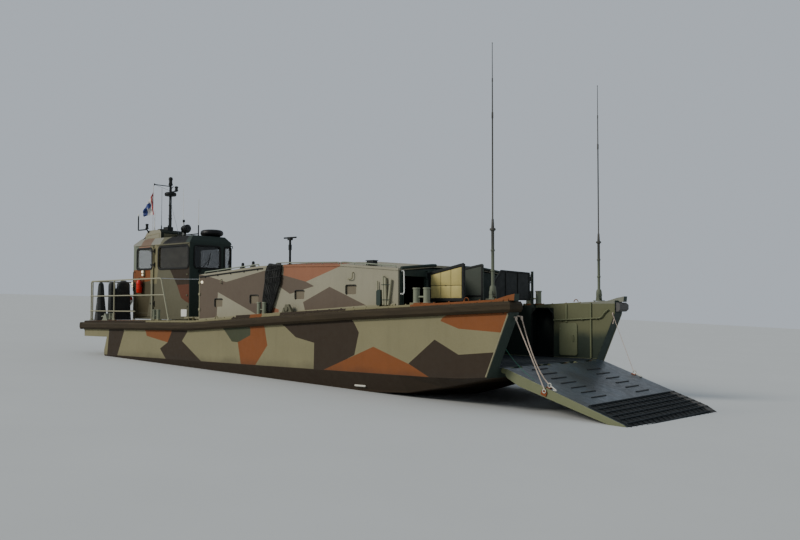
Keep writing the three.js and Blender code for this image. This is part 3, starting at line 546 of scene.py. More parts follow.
def hull_paint():
    """Camouflage outside and pale green inside the well, with painted shade: dark green on the bow's faces,
    on the well's lower and after walls, near black in its recesses, darker low on the sides.
    """
    g = Graph("hull_paint", 0.62)
    beam_in, above_floor = (None, WELL + 0.002), (FLOOR + 0.01, None)
    well = g.zone(beam=beam_in, x=(4.98, None), z=(FLOOR - 0.002, None))
    wall = g.all(well, g.zone(z=above_floor))
    chine = g.math("MULTIPLY", g.math("MAXIMUM", g.math("SUBTRACT", g.x, 12.5), 0.0), 0.05)
    bottom = g.math("LESS_THAN", g.math("SUBTRACT", g.z, g.math("ADD", 0.02, chine)), 0.004)
    # Painted shade: the outer sides turn darker brown towards the waterline.
    low_shade = g.math("MULTIPLY", g.fade(g.uneven_height(3.0, 0.25), 0.33, 0.1), 0.35)
    return g.weather(g.over(
        g.coat(SAND, HULL_PATCHES, DECK_PATCHES, 0.6),
        (bottom, "3d3225"),
        (well, "5f6147"),
        (g.all(well, g.zone(z=(None, FLOOR + 0.01), nz=(0.5, None))), "2b3136"),
        # Painted shadow: the well's walls turn dark green below about 0.9 m, where the far wall's shadow
        # falls.
        (g.all(wall, g.fade(g.uneven_height(1.5, 0.2), 0.98, 0.74)), "313a30"),
        # Painted shade: the well's walls aft of the recesses, dark green.
        (g.all(wall, g.zone(x=(None, 12.2))), "262f2a"),
        # Painted shade: the lookout's recesses, near black inside.
        (g.zone(x=(12.09, 12.65), beam=(WELL - 0.01, 2.1), z=(0.2, 1.31)), "121a17"),
        (g.zone(x=(12.03, 12.13), y=(1.75, 1.95), z=(1.375, None)), "222a25"),
        (g.zone(x=(13.3, None), y=(1.7, None), z=(1.4, None)), "74766a"),
        # Painted shade: the bow's forward faces, dark green.
        (g.zone(x=(13.45, None), nx=(0.4, None)), "333e37"),
        (g.all(low_shade, g.zone(beam=(1.9, None))), "2a241d"),
    ), streak=0.22, worn=0.6, rounding=0.01)


def shelter_paint():
    g = Graph("shelter_paint", 0.62)
    inward = g.math("LESS_THAN", g.math("MULTIPLY", g.y, g.ny), -0.4)
    return g.weather(g.over(
        g.coat(LIT_SAND, SHELTER_PATCHES, ROOF_PATCHES, 0.35),
        (g.zone(beam=(1.855, 1.8845), across=(0.9, None)), "6a6251"),
        # Painted shade: inward faces and undersides of the shelter, near black.
        (g.math("MAXIMUM", inward, g.zone(nz=(None, -0.6))), "1b221e"),
    ), streak=0.2, worn=0.55)


def house_paint():
    g = Graph("house_paint", 0.6)
    return g.weather(g.over(
        g.coat(PALE_OLIVE, HOUSE_PATCHES, HOUSE_ROOF_PATCHES, 0.4),
        # Painted shade: the wheelhouse's forward faces, dark green.
        (g.zone(nx=(0.5, None), x=(3.0, None)), "27322d"),
        # Painted shade: the wheelhouse's inside, near black.
        (g.zone(y=(-0.8345, 0.4945), x=(0.45, 3.105), z=(None, 3.045)), "1d2320"),
    ), streak=0.25)


def pod_paint():
    """Sand, with a dark green front that is painted shade."""
    g = Graph("pod_paint", 0.6)
    return g.weather(g.over(LIT_SAND, (g.zone(nx=(0.5, None), x=(1.2, None)), "20261f")), streak=0.25)


def ramp_paint():
    """Scuffed blue-grey tread and green sides."""
    g = Graph("ramp_paint", 0.36, 0.15, 0.6)
    worn = g.fade(g.noise(2.2, 6.0, (0.6, 1.0, 1.0)), 0.4, 0.65)
    return g.weather(g.over(
        tint("262e34"),
        (worn, "36424b"),
        (g.cloud(0.58, 0.68, 0.3, 6.0, 5.0, (0.5, 2.5, 1.0)), "56616a"),
        (g.zone(across=(0.7, None)), "666a4b"),
        (g.zone(nz=(None, -0.3)), "30382f"),
    ), grain=0.2, streak=0.0, worn=0.7, bump=0.0012)


def mast_paint():
    """Grey-green at the foot, darker and bare above."""
    g = Graph("mast_paint", 0.5)
    return g.weather(g.over(tint("5c6151"), (g.fade(g.uneven_height(6.0, 0.3), 2.2, 2.75), "45443f")),
                     streak=0.2)


def paint(name, code, roughness=0.6, metallic=0.0, **looks):
    return Graph(name, roughness, metallic).weather(tint(code), **looks)


def glass(name, code, alpha):
    """Dusty glass."""
    g = Graph(name, 0.06, specular=0.5)
    g.set("Alpha", alpha)
    g.set("Base Color", g.over(tint(code), (g.cloud(0.4, 0.8, 0.12, 5.0, 5.0), "7a7868")))
    return g.material


def rubber(name, code, roughness=0.75):
    """Scuffed rubber with cracks along it and dust in them."""
    g = Graph(name, roughness)
    colour = tint(code)
    tone = g.mix(g.cloud(0.4, 0.7, 0.55, 6.0, 6.0, (0.3, 1.0, 3.0)), colour, g.lighter(colour, 1.7))
    tone = g.over(tone, (g.zone(x=(13.93, None), y=(1.5, None)), "5a5957"))
    scuff = g.cloud(0.6, 0.68, 0.5, 14.0, 3.0, (0.4, 1.0, 2.0))
    g.set("Base Color", g.mix(scuff, tone, g.lighter(colour, 0.5)))
    return g.relief(g.noise(60.0, 5.0), 0.002, 0.014)


def woven(name, code, pitch=0.012):
    """Coarse cloth: two crossed waves, with stains."""
    g = Graph(name, 0.9)
    colour = tint(code)
    waves = [g.math("SINE", g.math("MULTIPLY", v, 2 * math.pi / pitch))
             for v in (g.math("ADD", g.x, g.y), g.z)]
    g.set("Base Color", g.mix(g.fade(g.noise(4.0, 5.0), 0.35, 0.7), colour, g.lighter(colour, 1.35)))
    g.set("Sheen Weight", 0.25)
    return g.relief(g.math("MULTIPLY", *waves), pitch * 0.08)


def flag_cloth():
    """Three level bands, red over white over blue."""
    g = Graph("flag_cloth", 0.8)
    down = g.split(g.node("UVMap", uv_map="flat").outputs[0])[1]
    bands = (g.above(down, 1 / 3), "c9c6c0"), (g.above(down, 2 / 3), "8f2a2c")
    g.set("Base Color", g.over(tint("2c3d78"), *bands, (g.cloud(0.4, 0.8, 0.3, 8.0, 5.0), "6f675e")))
    g.set("Sheen Weight", 0.3)
    return g.relief(g.noise(400.0, 2.0), 0.0004)


def lamp_glass(name, code, glow):
    g = Graph(name, 0.25)
    colour = tint(code)
    g.set("Base Color", g.mix(g.fade(g.noise(60.0, 2.0), 0.4, 0.7), colour, g.lighter(colour, 0.8)))
    g.set("Emission Color", colour)
    g.set("Emission Strength", glow)
    return g.material


M = {
    "hull": hull_paint(), "shelter": shelter_paint(), "house": house_paint(), "ramp": ramp_paint(),
    "pod": pod_paint(), "mast": mast_paint(), "flag": flag_cloth(),
    "sand": paint("sand_paint", "827e65"),
    "olive": paint("olive_paint", "5b5947"),
    "pale": paint("pale_paint", "7d8373", 0.55),
    "post": paint("post_paint", "747966", 0.55),
    "rail": paint("rail_paint", "8f8d76", 0.55),
    "green": paint("green_paint", "2b3731"),
    "panel_green": paint("panel_green", "424840"),
    "black": paint("black_paint", "1b1e1d", 0.5, bare="4a4d4a"),
    "well": paint("well_paint", "686c51"),
    "tan": paint("tan_lining", "b4a76b", 0.8, worn=0.0, streak=0.4),
    "steel": paint("bare_steel", "7d8286", 0.4, 0.8, worn=0.3),
    "zinc": paint("zinc", "b9b8ae", 0.5, 0.4, worn=0.2),
    "rust": paint("rusty_steel", "7a4326", 0.8, 0.2, grain=0.8),
    "jet": paint("jet_alloy", "6c7276", 0.42, 0.7, bare="a9adb0"),
    "red": paint("red_paint", "c5281c", 0.35, worn=0.2),
    "white": paint("white_paint", "d9d9d2", 0.45, worn=0.3),
    "fender": rubber("fender_rubber", "2f2719"),
    "seal": rubber("seal_rubber", "161716", 0.6),
    "deck_mat": rubber("deck_mat", "23282b", 0.85),
    "vinyl": rubber("black_vinyl", "17181a", 0.5),
    "plastic": rubber("black_plastic", "121314", 0.45),
    # Painted reflection: the starboard side pane's glass is near opaque and dark brown.
    "glass": glass("window_glass", "29251a", 0.93),
    "clear_glass": glass("clear_glass", "7c7f78", 0.3),
    "dark_glass": glass("windscreen_glass", "10181a", 0.55),
    "net": woven("net_rope", "0e0f0a", 0.02),
    "rope": woven("pale_rope", "b5a596", 0.014),
    "green_line": woven("green_line", "2f6a55"),
    "canvas": woven("black_canvas", "272a28", 0.008),
    "lamp": lamp_glass("lamp_glass", "fff1d2", 0.8),
}

# The finish of the solids that show. A star stands for starboard and port.
FINISHES = {
    # Painted shade: the shelter's front takes the dark green paint.
    "hull": "hull", "ramp": "bow_ramp", "pod": "roof_pod", "vinyl": "helm_seat", "green": "shelter_front",
    "shelter": "shelter_wall_* shelter_roof_aft shelter_roof_forward shelter_aft",
    "house": "wheelhouse_shell wheelhouse_roof wheelhouse_door_*",
    "sand": "engine_hatch_*",
    "jet": "jet_* jet_nozzle_* jet_bucket_*",
    "panel_green": "shelter_door_port",
    # Painted shade: the bow screen takes the black paint.
    "black": "bow_screen helm_console shelter_door_starboard",
    "fender": "fender_* fender_stern",
    "mast": "antenna_foot_*",
    "glass": "window_starboard",
    "clear_glass": "window_port window_aft windscreen_port door_window_*",
    "dark_glass": "windscreen_starboard",
}
for finish, nodes in FINISHES.items():
    for node in sorted({name.replace("*", side) for name in nodes.split() for side, _ in SIDES}):
        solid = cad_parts[node].data
        solid.materials.clear()
        solid.materials.append(M[finish])


# Hull

# Along the deck, off the centreline, radius, height
BOLLARDS = ((1.12, 1.93, 0.038, 0.23), (3.215, 1.925, 0.044, 0.31), (7.44, 2.015, 0.045, 0.33),
            (12.04, 1.99, 0.062, 0.345))


def mooring_posts():
    """Turned sleeves with a rolled cap over each pair of posts, and a horn between them."""
    parts = []
    for x, y, r, high in BOLLARDS:
        z, spread, top = deck(x), r * 2.9 * 0.7, high - 0.03
        for k in (-1, 1):
            parts.append(turned(x + k * spread, -y, z, [
                (r * 1.3, 0.025), (r * 1.05, 0.045), (r * 1.02, 0.06), (r * 1.02, top - 0.03),
                (r * 1.17, top - 0.024), (r * 1.17, top - 0.004), (r * 1.08, top + 0.003)], 32))
        parts.append(rod((x - spread, -y, z + top * 0.45), (x + spread, -y, z + top * 0.45), r * 0.3))
        parts += bolts([(x + i * spread * 1.65, -y + j * r * 1.05, z + 0.025) for i in (-1, 1)
                        for j in (-1, 1)],
                       UP, 0.009, 0.012)
    return parts


def fender_strips():
    """Flat bars that hold the fender on the side, bolted through."""
    parts = []
    for lift in (0.018, -0.205):
        line = [(x, -BEAM - 0.001, sheer(x) + lift) for x in (0.1, 5.0, 10.4, 14.0)]
        heads = [(x, -BEAM - 0.013, sheer(x) + lift) for x in (0.25 + 0.3 * i for i in range(46))]
        parts += [strip(line, 0.014, -0.015, 0.015), *bolts(heads, (0, -1, 0))]
    return parts


def fairlead(x=8.31, y=-2.02):
    z = deck(x) - 0.01
    return [prism("xz", [(x - 0.15, z), (x + 0.19, z), (x + 0.05, z + 0.21), (x - 0.05, z + 0.21)],
                  y - 0.03, y + 0.03),
            rod((x, y - 0.055, z + 0.11), (x, y + 0.03, z + 0.11), 0.05),
            prism("xz", [(x - 0.16, z), (x - 0.02, z), (x - 0.09, z + 0.14)], y - 0.05, y + 0.05)]


def deck_fittings():
    """Studs along the side deck and lifting rings."""
    studs = [(x, -2.115, deck(x) - 0.001) for x in (5.2 + 0.345 * i for i in range(26))]
    parts = bolts(studs, UP, 0.02, 0.022)
    for x in (5.8, 13.1):
        z = deck(x) + 0.012
        bow = [(x + 0.05 * math.cos(a), -2.0, z + 0.06 * math.sin(a)) for a in turns(11, 1.1 * math.pi)]
        parts.append(tube(bow, 0.009, 8))
    return parts


def anodes():
    """Zinc blocks on straps along the bottom's edge."""
    lean = Matrix.Rotation(math.pi, 4, "X") @ Matrix.Rotation(math.atan2(0.42, 0.3), 4, "X")
    block = prism("xy", rounded(-0.15, 0.15, -0.035, 0.035, 0.02), 0.0, 0.03)
    return [moved(block, Matrix.Translation((x, -1.955, -0.245)) @ lean) for x in (2.4, 6.2, 10.42)]


# Pale bead up the outer corner of the bow's face
BEAD = [(x, -BEAM + 0.004, z) for x, z in ((13.625, 0.09), (14.085, 1.18), (14.085, sheer(14.0) - 0.2))]

pair("mooring_posts", mooring_posts(), "post", "camouflage_paint", smooth=40)
pair("fender_strips", fender_strips(), "hull", "camouflage_paint")
pair("fairlead", fairlead(), "olive", "camouflage_paint", bevel=0.004)
pair("deck_fittings", deck_fittings(), "hull", "camouflage_paint")
pair("bow_edge", [tube(BEAD, 0.014, 8)], "sand", "camouflage_paint")
pair("anodes", anodes(), "zinc", "pale_metal", bevel=0.004)


# Forward well

# The level length of the pipe along its side
LINE = ((12.66, 1.04), (13.8, 1.1))


def well_wall():
    """Locker lid with its handle, frame, pipe and rubbing strips on the well's side."""
    y = -WELL + 0.001
    run = y + 0.03
    parts = [prism("xz", rounded(12.8, 13.23, 0.29, 0.98, 0.05), y, y + 0.022),
             box(13.54, 13.57, y, run, FLOOR + 0.01, deck(13.5) - 0.02),
             box(12.95, 12.985, y, y + 0.02, 1.0, deck(12.9) - 0.02),
             pipe([(x, run, z) for x, z in (*LINE, (13.88, 1.22), (13.97, 1.28))], 0.06, 0.014),
             handle((13.14, y + 0.02, 0.6), (13.14, y + 0.02, 0.72), (0, 0.04, 0), 0.02, 0.008)]
    for x in (12.85, 13.35, 13.7):
        z = along(LINE, x)
        parts.append(box(x - 0.012, x + 0.012, y, y + 0.046, z - 0.02, z + 0.02))
    return parts + bolts([(x, y + 0.022, z) for x in (12.83, 13.2) for z in (0.36, 0.6, 0.85)], (0, 1, 0))


def floor_plates():
    """Treaded plates on the floor of the well."""
    parts = []
    for x in (11.3, 12.05, 12.8):
        for y in (-1.2, -0.4, 0.4, 1.2):
            plate = rounded(x + 0.02, x + 0.74, y - 0.38, y + 0.38, 0.02, 2)
            parts.append(prism("xy", plate, FLOOR + 0.001, FLOOR + 0.009))
            for i, j in ((i, j) for i in range(6) for j in range(6)):
                u, v = x + 0.1 + i * 0.112, y - 0.3 + j * 0.12
                turn = 0.022 if (i + j) % 2 else -0.022
                stud = [(u - 0.03, v - turn), (u, v - turn - 0.008), (u + 0.03, v + turn),
                        (u, v + turn + 0.008)]
                parts.append(prism("xy", stud, FLOOR + 0.008, FLOOR + 0.012))
    return parts


# Dark edging round the lookout's recess
RECESS = ((12.1, 1.18), (12.22, 1.3), (12.52, 1.3), (12.64, 1.18), (12.64, 0.262), (12.1, 0.262))

pair("well_wall", well_wall(), "well", "camouflage_paint", bevel=0.004)
pair("recess_trim", [tube([(x, -WELL + 0.006, z) for x, z in RECESS], 0.016, 8, True)], "seal",
     "fender_rubber")
piece("floor_plates", floor_plates(), "deck_mat", "fender_rubber")


# Bow ramp: drawn level from the hinge, then let down

LOWERED = Matrix.Translation((HINGE[0], 0, HINGE[1])) @ Matrix.Rotation(RAMP_DOWN, 4, "Y")
BEND, TIP, BEND_DROP = 2.43, 2.73, 0.062
LUG, HOOK = (0.92, 1.793, -0.03), (0.94, 1.72, TREAD + 0.045)
PORT_HOOK = 0.85


def tread_height(u):
    return TREAD - BEND_DROP * max(0.0, (u - BEND) / (TIP - BEND))


def on_tread(start, end, low, high):
    """Outline of a layer on the tread, bent with it."""
    line = [(start, tread_height(start)), (BEND, TREAD), (end, tread_height(end))]
    return [(u, z + low) for u, z in line] + [(u, z + high) for u, z in reversed(line)]


def ramp_cleats():
    """Two tracks of short cross bars."""
    rows = [*((-1.14, -0.62, 0.21 + 0.21 * i) for i in range(7)),
            *((0.5, 1.03, 0.44 + 0.215 * i) for i in range(6))]
    return [box(u - 0.014, u + 0.014, y0, y1, TREAD - 0.001, TREAD + 0.012) for y0, y1, u in rows]


def ramp_grid(start=1.74, end=2.715, half=1.7):
    """Open grating over the ramp's outer end: flat bars on edge, both ways."""
    rows, columns = 7, 18
    bars = [start + (end - start) * i / rows for i in range(rows + 1)]
    parts = [box(u - 0.011, u + 0.011, -half, half, tread_height(u) - 0.002, tread_height(u) + 0.026)
             for u in bars]
    for y in (-half + 2 * half * k / columns for k in range(columns + 1)):
        parts.append(prism("xz", on_tread(start, end, -0.002, 0.02), y - 0.008, y + 0.008))
    return parts


def ramp_lugs():
    """On each side an eye plate on the ramp's flank, and a hook with its shackle on the tread."""
    plates, bars = [], []
    for s in (-1, 1):
        u, y, w = LUG[0], s * LUG[1], LUG[2]
        plate = [(u + a, w + b) for a, b in ((-0.055, -0.05), (0.055, -0.05), (0.055, 0.02), (0.02, 0.055),
                                             (-0.02, 0.055), (-0.055, 0.02))]
        plates.append(prism("xz", plate, *sorted((y - s * 0.008, y + s * 0.012))))
        bars.append(hoop((u, y + s * 0.016, w + 0.03), (0.03, 0, 0), (0, 0, 0.03), 0.009, 14))
        u, y, w = PORT_HOOK if s > 0 else HOOK[0], s * HOOK[1], HOOK[2]
        plates.append(box(u - 0.04, u + 0.04, y - 0.035, y + 0.035, TREAD, TREAD + 0.012))
        bars.append(hoop((u, y, w + 0.002), (0.032, 0, 0), (0, 0, 0.036), 0.01, 14))
        bars.append(pipe([(u + 0.02, y, w), (u + 0.1, y, w - 0.015), (u + 0.15, y, w - 0.03),
                          (u + 0.17, y + s * 0.04, w - 0.032), (u + 0.11, y + s * 0.05, w - 0.03)],
                         0.02, 0.012, 8))
    return painted(plates, bars)


for name, parts, materials, bevel in (
    ("ramp_cleats", ramp_cleats(), "black", 0.003),
    ("ramp_grid", ramp_grid(), "deck_mat", 0.0),
    ("ramp_bed", [prism("xz", on_tread(1.72, 2.725, 0.001, 0.004), -1.715, 1.715)], "seal", 0.0),
    ("ramp_lugs", ramp_lugs(), "rust zinc", 0.0),
):
    piece(name, [moved(p, LOWERED) for p in parts], materials, "ramp_plate", "ramp", bevel)


def laid_rope(a, b, r, sag, winds=24):
    """Two strands twisted round each other from a to b."""
    a, b = Vector(a), Vector(b)
    ahead = (b - a).normalized()
    side = ahead.orthogonal().normalized()
    other = ahead.cross(side)
    parts = []
    for phase in (0, math.pi):
        path = []
        for t in (i / (winds * 6) for i in range(winds * 6 + 1)):
            angle = phase + t * winds * 2 * math.pi
            drop = Vector((0, 0, -sag * 4 * t * (1 - t)))
            path.append(a + (b - a) * t + drop + (side * math.cos(angle) + other * math.sin(angle)) * r * 0.5)
        parts.append(tube(path, r * 0.62, 5))
    return parts


# Hoisting ropes: from the bow, to a place on the level ramp, radius, sag
for name, start, end, r, material, sag in (
    ("outer_starboard", (14.12, -1.93, 1.1), (LUG[0], -LUG[1] - 0.018, LUG[2] + 0.055), 0.011, "rope", 0.0),
    ("inner_starboard", (14.16, -1.81, 1.12), (HOOK[0] - 0.03, -HOOK[1], HOOK[2] + 0.02), 0.011,
     "rope", 0.17),
    ("port", (14.06, 1.815, 1.16), (PORT_HOOK - 0.03, HOOK[1], HOOK[2] + 0.02), 0.006, "rope", 0.0),
    ("green", (13.75, -1.795, 0.65), (0.62, -1.7, TREAD + 0.012), 0.0045, "green_line", 0.06),
):
    kind = "line" if name == "green" else "rope"
    rope = piece(f"ramp_{kind}_{name}", laid_rope(start, LOWERED @ Vector(end), r, sag),
                 material, "net_fabric")
    rope.parent = None
    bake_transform(rope)

# Eyes at the ropes' upper ends, with tails, and a short strop on the port bow
EYES = ((14.12, -1.93, 1.12), (14.16, -1.815, 1.13), (14.06, 1.82, 1.18))
rope_ends = [hoop(eye, (0, 0.022, 0), (0, 0, 0.03), 0.01, 12) for eye in EYES]
rope_ends += [pipe([(14.06, 1.82, 1.19), (14.07, 1.85, 1.1), (14.04, 1.85, 0.98)], 0.02, 0.011, 8),
              tube([(14.06, -1.85, 1.17), (14.16, -1.815, 1.155)], 0.012, 8),
              tube([(14.06, -1.93, 1.15), (14.12, -1.93, 1.145)], 0.012, 8)]
piece("rope_ends", rope_ends, "rope", "net_fabric")


# Bow antennas

ANTENNA = (13.66, 1.975)
# Radius and height of the folding post and its whip
ANTENNA_POST = (
    (0.024, 0.05), (0.036, 0.09), (0.036, 0.16), (0.03, 0.18), (0.028, 1.21), (0.034, 1.22), (0.034, 1.228),
    (0.052, 1.232), (0.056, 1.25), (0.052, 1.27), (0.03, 1.275), (0.027, 1.31), (0.022, 1.43), (0.014, 1.44),
    (0.013, 3.24), (0.018, 3.25), (0.018, 3.35), (0.012, 3.36), (0.01, 3.9), (0.0125, 3.91), (0.0125, 3.97),
    (0.008, 3.98), (0.006, 4.6), (0.009, 4.61), (0.009, 4.62))


def antenna(s):
    x, y = ANTENNA[0], s * ANTENNA[1]
    z = deck(x) + 0.008
    parts = [turned(x, y, z, ANTENNA_POST, 20),
             lathe((x, y - 0.042, z + 0.075), (0, 1, 0), band(0.034, 0.084), 20),
             turned(x, y, z + 0.09, [(0.036, 0.0), (0.058, 0.01), (0.062, 0.06), (0.055, 0.13),
                                     (0.04, 0.16)], 16)]
    parts += [turned(x, y, z + h, band(0.036, 0.034), 20) for h in (0.5, 0.86)]
    for k in (-1, 1):
        parts += [pipe([(x + k * 0.045, y, z + 0.17), (x + k * 0.06, y + 0.02, z + 0.13),
                        (x + k * 0.05, y, z + 0.085)],
                       0.02, 0.008, 8),
                  box(x - 0.03, x + 0.03, *sorted((y + k * 0.04, y + k * 0.072)), z + 0.085, z + 0.15)]
    return parts


for side, s in SIDES:
    post = piece(f"antenna_mast_{side}", antenna(s), "mast", "pale_metal", f"antenna_post_{side}", smooth=50)
    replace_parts(post, f"antenna_{side}")


# Troop shelter

SIDE = -1.886       # starboard face of its wall
STEPS = ((5.57, 1.505), (6.875, 1.585), (8.392, 1.675), (9.935, 1.768))


def eaves_line(y, lift, x0, x1):
    return [(x, y, along(EAVES, x) + lift) for x in [x0] + [x for x, _ in EAVES if x0 < x < x1] + [x1]]


def grab_rails(y=-1.862, high=0.092):
    """Rails along the roof's edge on short feet."""
    parts = []
    for x0, x1 in ((5.15, 7.15), (7.75, 9.7), (9.78, 11.28)):
        line = eaves_line(y, high, x0, x1)
        ends = [(p[0], y, p[2] - 0.05) for p in (line[0], line[-1])]
        parts.append(pipe([ends[0], *line, ends[1]], 0.05, 0.013))
        for x in (x0 + (x1 - x0) * k / 4 for k in (1, 2, 3)):
            parts.append(rod((x, y, along(EAVES, x) + 0.03), (x, y, along(EAVES, x) + high), 0.009, sides=8))
    return parts


def roof_shadow_strip():
    """Dark strip in the joint between the roof and the walls, a painted shadow under the roof's edge, with
    the tails of its toggles.
    """
    parts = [strip(eaves_line(SIDE, -0.016, 4.97, 7.32), 0.01, -0.016, 0.013)]
    for x in (5.2 + 0.485 * k for k in range(5)):
        z = along(EAVES, x)
        parts.append(box(x - 0.012, x + 0.012, SIDE - 0.016, SIDE, z - 0.05, z - 0.01))
    return parts


# Painted shadow: dark tubes along the top and after edges of each step pocket.
def step_shadows():
    outlines = [rounded(x, x + 0.295, z - 0.19, z, 0.03, 3)[:12] for x, z in STEPS]
    return [tube([(u, SIDE - 0.001, v) for u, v in outline], 0.011, 8) for outline in outlines]


def wall_fittings():
    """Welded stiffener along the foot of the shelter's side, a hook and a handle."""
    out = -1.93
    hook = [(10.02, -1.89, 1.9), (10.02, out, 1.89), (10.13, out, 1.89), (10.16, out, 1.92),
            (10.16, out, 2.02),
            (10.16, -1.89, 2.02)]
    return [strip([(x, SIDE, deck(x) + 0.03) for x in (4.99, 5.0, 10.4, 11.3)], 0.018, -0.02, 0.02),
            pipe(hook, 0.02, 0.011),
            handle((5.84, -1.885, 1.96), (5.84, -1.885, 1.87), (0, -0.045, 0), 0.02, 0.01)]


def stowed_poles(y=-1.925):
    """Boat hooks and boards strapped to the shelter's side forward."""
    ends = ((10.87, 1.33, 10.84, 1.84, 0.014), (11.02, 1.36, 11.0, 1.93, 0.03),
            (11.08, 1.35, 11.06, 1.9, 0.028),
            (11.14, 1.36, 11.21, 1.86, 0.024))
    bag = prism("xz", rounded(10.86, 10.975, 1.34, 1.66, 0.05), -1.975, -1.89)
    straps = [box(10.98, 11.2, y - 0.035, y - 0.03, z - 0.006, z + 0.006) for z in (1.46, 1.76)]
    return painted([rod((x0, y, z0), (x1, y, z1), r) for x0, z0, x1, z1, r in ends], [bag, *straps])


def t_post(x=8.04, y=-1.72):
    """T-shaped post on the roof's edge."""
    z = along(EAVES, x) + 0.04
    return [rod((x, y, z), (x, y, 2.84), 0.026), rod((x, y, z), (x, y, z + 0.03), 0.06),
            rod((x, y, 2.58), (x, y, 2.7), 0.038), rod((x - 0.2, y, 2.855), (x + 0.2, y, 2.855), 0.018),
            box(x - 0.05, x + 0.05, y - 0.04, y + 0.04, 2.8, 2.87)]


def roof_vents():
    """Lifting eyes with hoods, and a vent box."""
    hood = [(0.085, 0.0), (0.08, 0.03), (0.05, 0.075), (0.035, 0.1), (0.035, 0.15), (0.02, 0.17)]
    return [*(turned(x, -1.62, along(EAVES, x) + 0.05, hood, 16) for x in (6.28, 6.66)),
            prism("xz", [(10.42, 2.16), (10.62, 2.15), (10.61, 2.255), (10.44, 2.26)], -1.8, -1.66),
            box(10.41, 10.63, -1.81, -1.65, 2.255, 2.27)]


def corner_post():
    """Round after corner of the shelter, with its lamp and latches."""
    post = [tube([(4.965, -1.872, deck(5.0) + 0.01), (4.965, -1.872, 2.05)], 0.022)]
    post += [box(4.945, 5.01, -1.905, -1.882, z - 0.03, z + 0.03) for z in (1.25, 1.62, 1.9)]
    return painted(post, [lathe((5.08, -1.885, 1.91), (0, -1, 0),
                                [(0.035, 0), (0.035, 0.02), (0.02, 0.035)], 14)])


def front_trim(face=11.357):
    """Coaming rail beside the port leaf's swing, and door frames."""
    x, high, low = face + 0.04, 2.175, 2.09
    parts = [pipe([(x, -1.83, low), (x, -0.85, high), (x, -0.74, high)], 0.1, 0.028),
             pipe([(x, 0.03, high), (x, 0.85, high), (x, 1.83, low)], 0.2, 0.028)]
    for y0, y1, thick in ((-1.72, -1.04, 0.014), (-0.7, -0.06, 0.003)):
        outer, inner = rounded(y0 - 0.035, y1 + 0.035, 0.27, 1.965, 0.04), rounded(y0, y1, 0.305, 1.93, 0.02)
        parts.append(ring("yz", outer, inner, face, face + thick))
    return parts


hooked_rail = [pipe([(11.36, -1.79, 2.03), (11.43, -1.79, 2.03), (11.43, -1.78, 1.6), (11.43, -1.84, 1.56),
                     (11.43, -1.88, 1.58)], 0.05, 0.013)]


def leaf_lining():
    """Quilted tan lining on the inner face of the starboard leaf, held by a dark frame with stud heads."""
    y = -1.0265
    outer = [(11.44, 1.44), (12.3, 1.44), (12.325, 1.465), (12.325, 2.155), (12.3, 2.178), (11.47, 2.018),
             (11.44, 1.985)]
    inner = [(11.49, 1.49), (12.265, 1.49), (12.275, 1.5), (12.275, 2.115), (12.265, 2.122), (11.5, 1.975),
             (11.49, 1.962)]
    pads, n = [], 8
    for x0, x1 in ((11.5, 11.745), (11.755, 12.0), (12.01, 12.265)):
        for z0, z1, rise in ((1.5, 1.745, 0.0), (1.755, 1.964 + 0.19 * (x0 - 11.5), 0.19 * (x1 - x0))):
            points = []
            for u, v in ((i / n, j / n) for i in range(n + 1) for j in range(n + 1)):
                crown = 0.014 * (16 * u * (1 - u) * v * (1 - v)) ** 0.5
                points.append((x0 + (x1 - x0) * u, y - 0.001 - crown, z0 + (z1 + rise * u - z0) * v))
            pads.append((points, quilt(n, n)))
    heads = [(x, y - 0.012, z) for x in (11.465, 11.88, 12.3) for z in (1.465, 1.75)]
    return painted([ring("xz", outer, inner, y - 0.012, y), *bolts(heads, (0, -1, 0), 0.012, 0.008)], pads)


def leaf_trim(y=-0.037):
    """Edge frame, bar handle and stiffeners of the port leaf."""
    outer = [(11.43, 0.335), (12.075, 0.335), (12.075, 2.19), (12.05, 2.21), (11.465, 2.117), (11.43, 2.088)]
    inner = [(11.47, 0.375), (12.035, 0.375), (12.035, 2.16), (12.03, 2.165), (11.48, 2.078), (11.47, 2.065)]
    return [ring("xz", outer, inner, y - 0.006, y),
            handle((11.95, y, 1.2), (11.95, y, 1.42), (0, -0.05, 0), 0.02, 0.01),
            *(box(11.47, 12.035, y - 0.006, y, z - 0.02, z + 0.02) for z in (0.95, 1.55))]


def screen_trim(face=12.097):
    """Hem, lacing eyes and battens of the weather screen."""
    outer = [(0.335, 1.475), (1.735, 1.475), (1.735, 2.086), (0.632, 2.107), (0.335, 1.827)]
    inner = [(0.375, 1.515), (1.7, 1.515), (1.7, 2.05), (0.65, 2.07), (0.375, 1.81)]
    return [ring("yz", outer, inner, face, face + 0.006),
            *(box(face, face + 0.008, y - 0.012, y + 0.012, 1.515, 2.06) for y in (0.78, 1.25)),
            *bolts([(face + 0.006, 0.36 + 0.168 * i, 1.495) for i in range(9)], (1, 0, 0), 0.012, 0.006)]


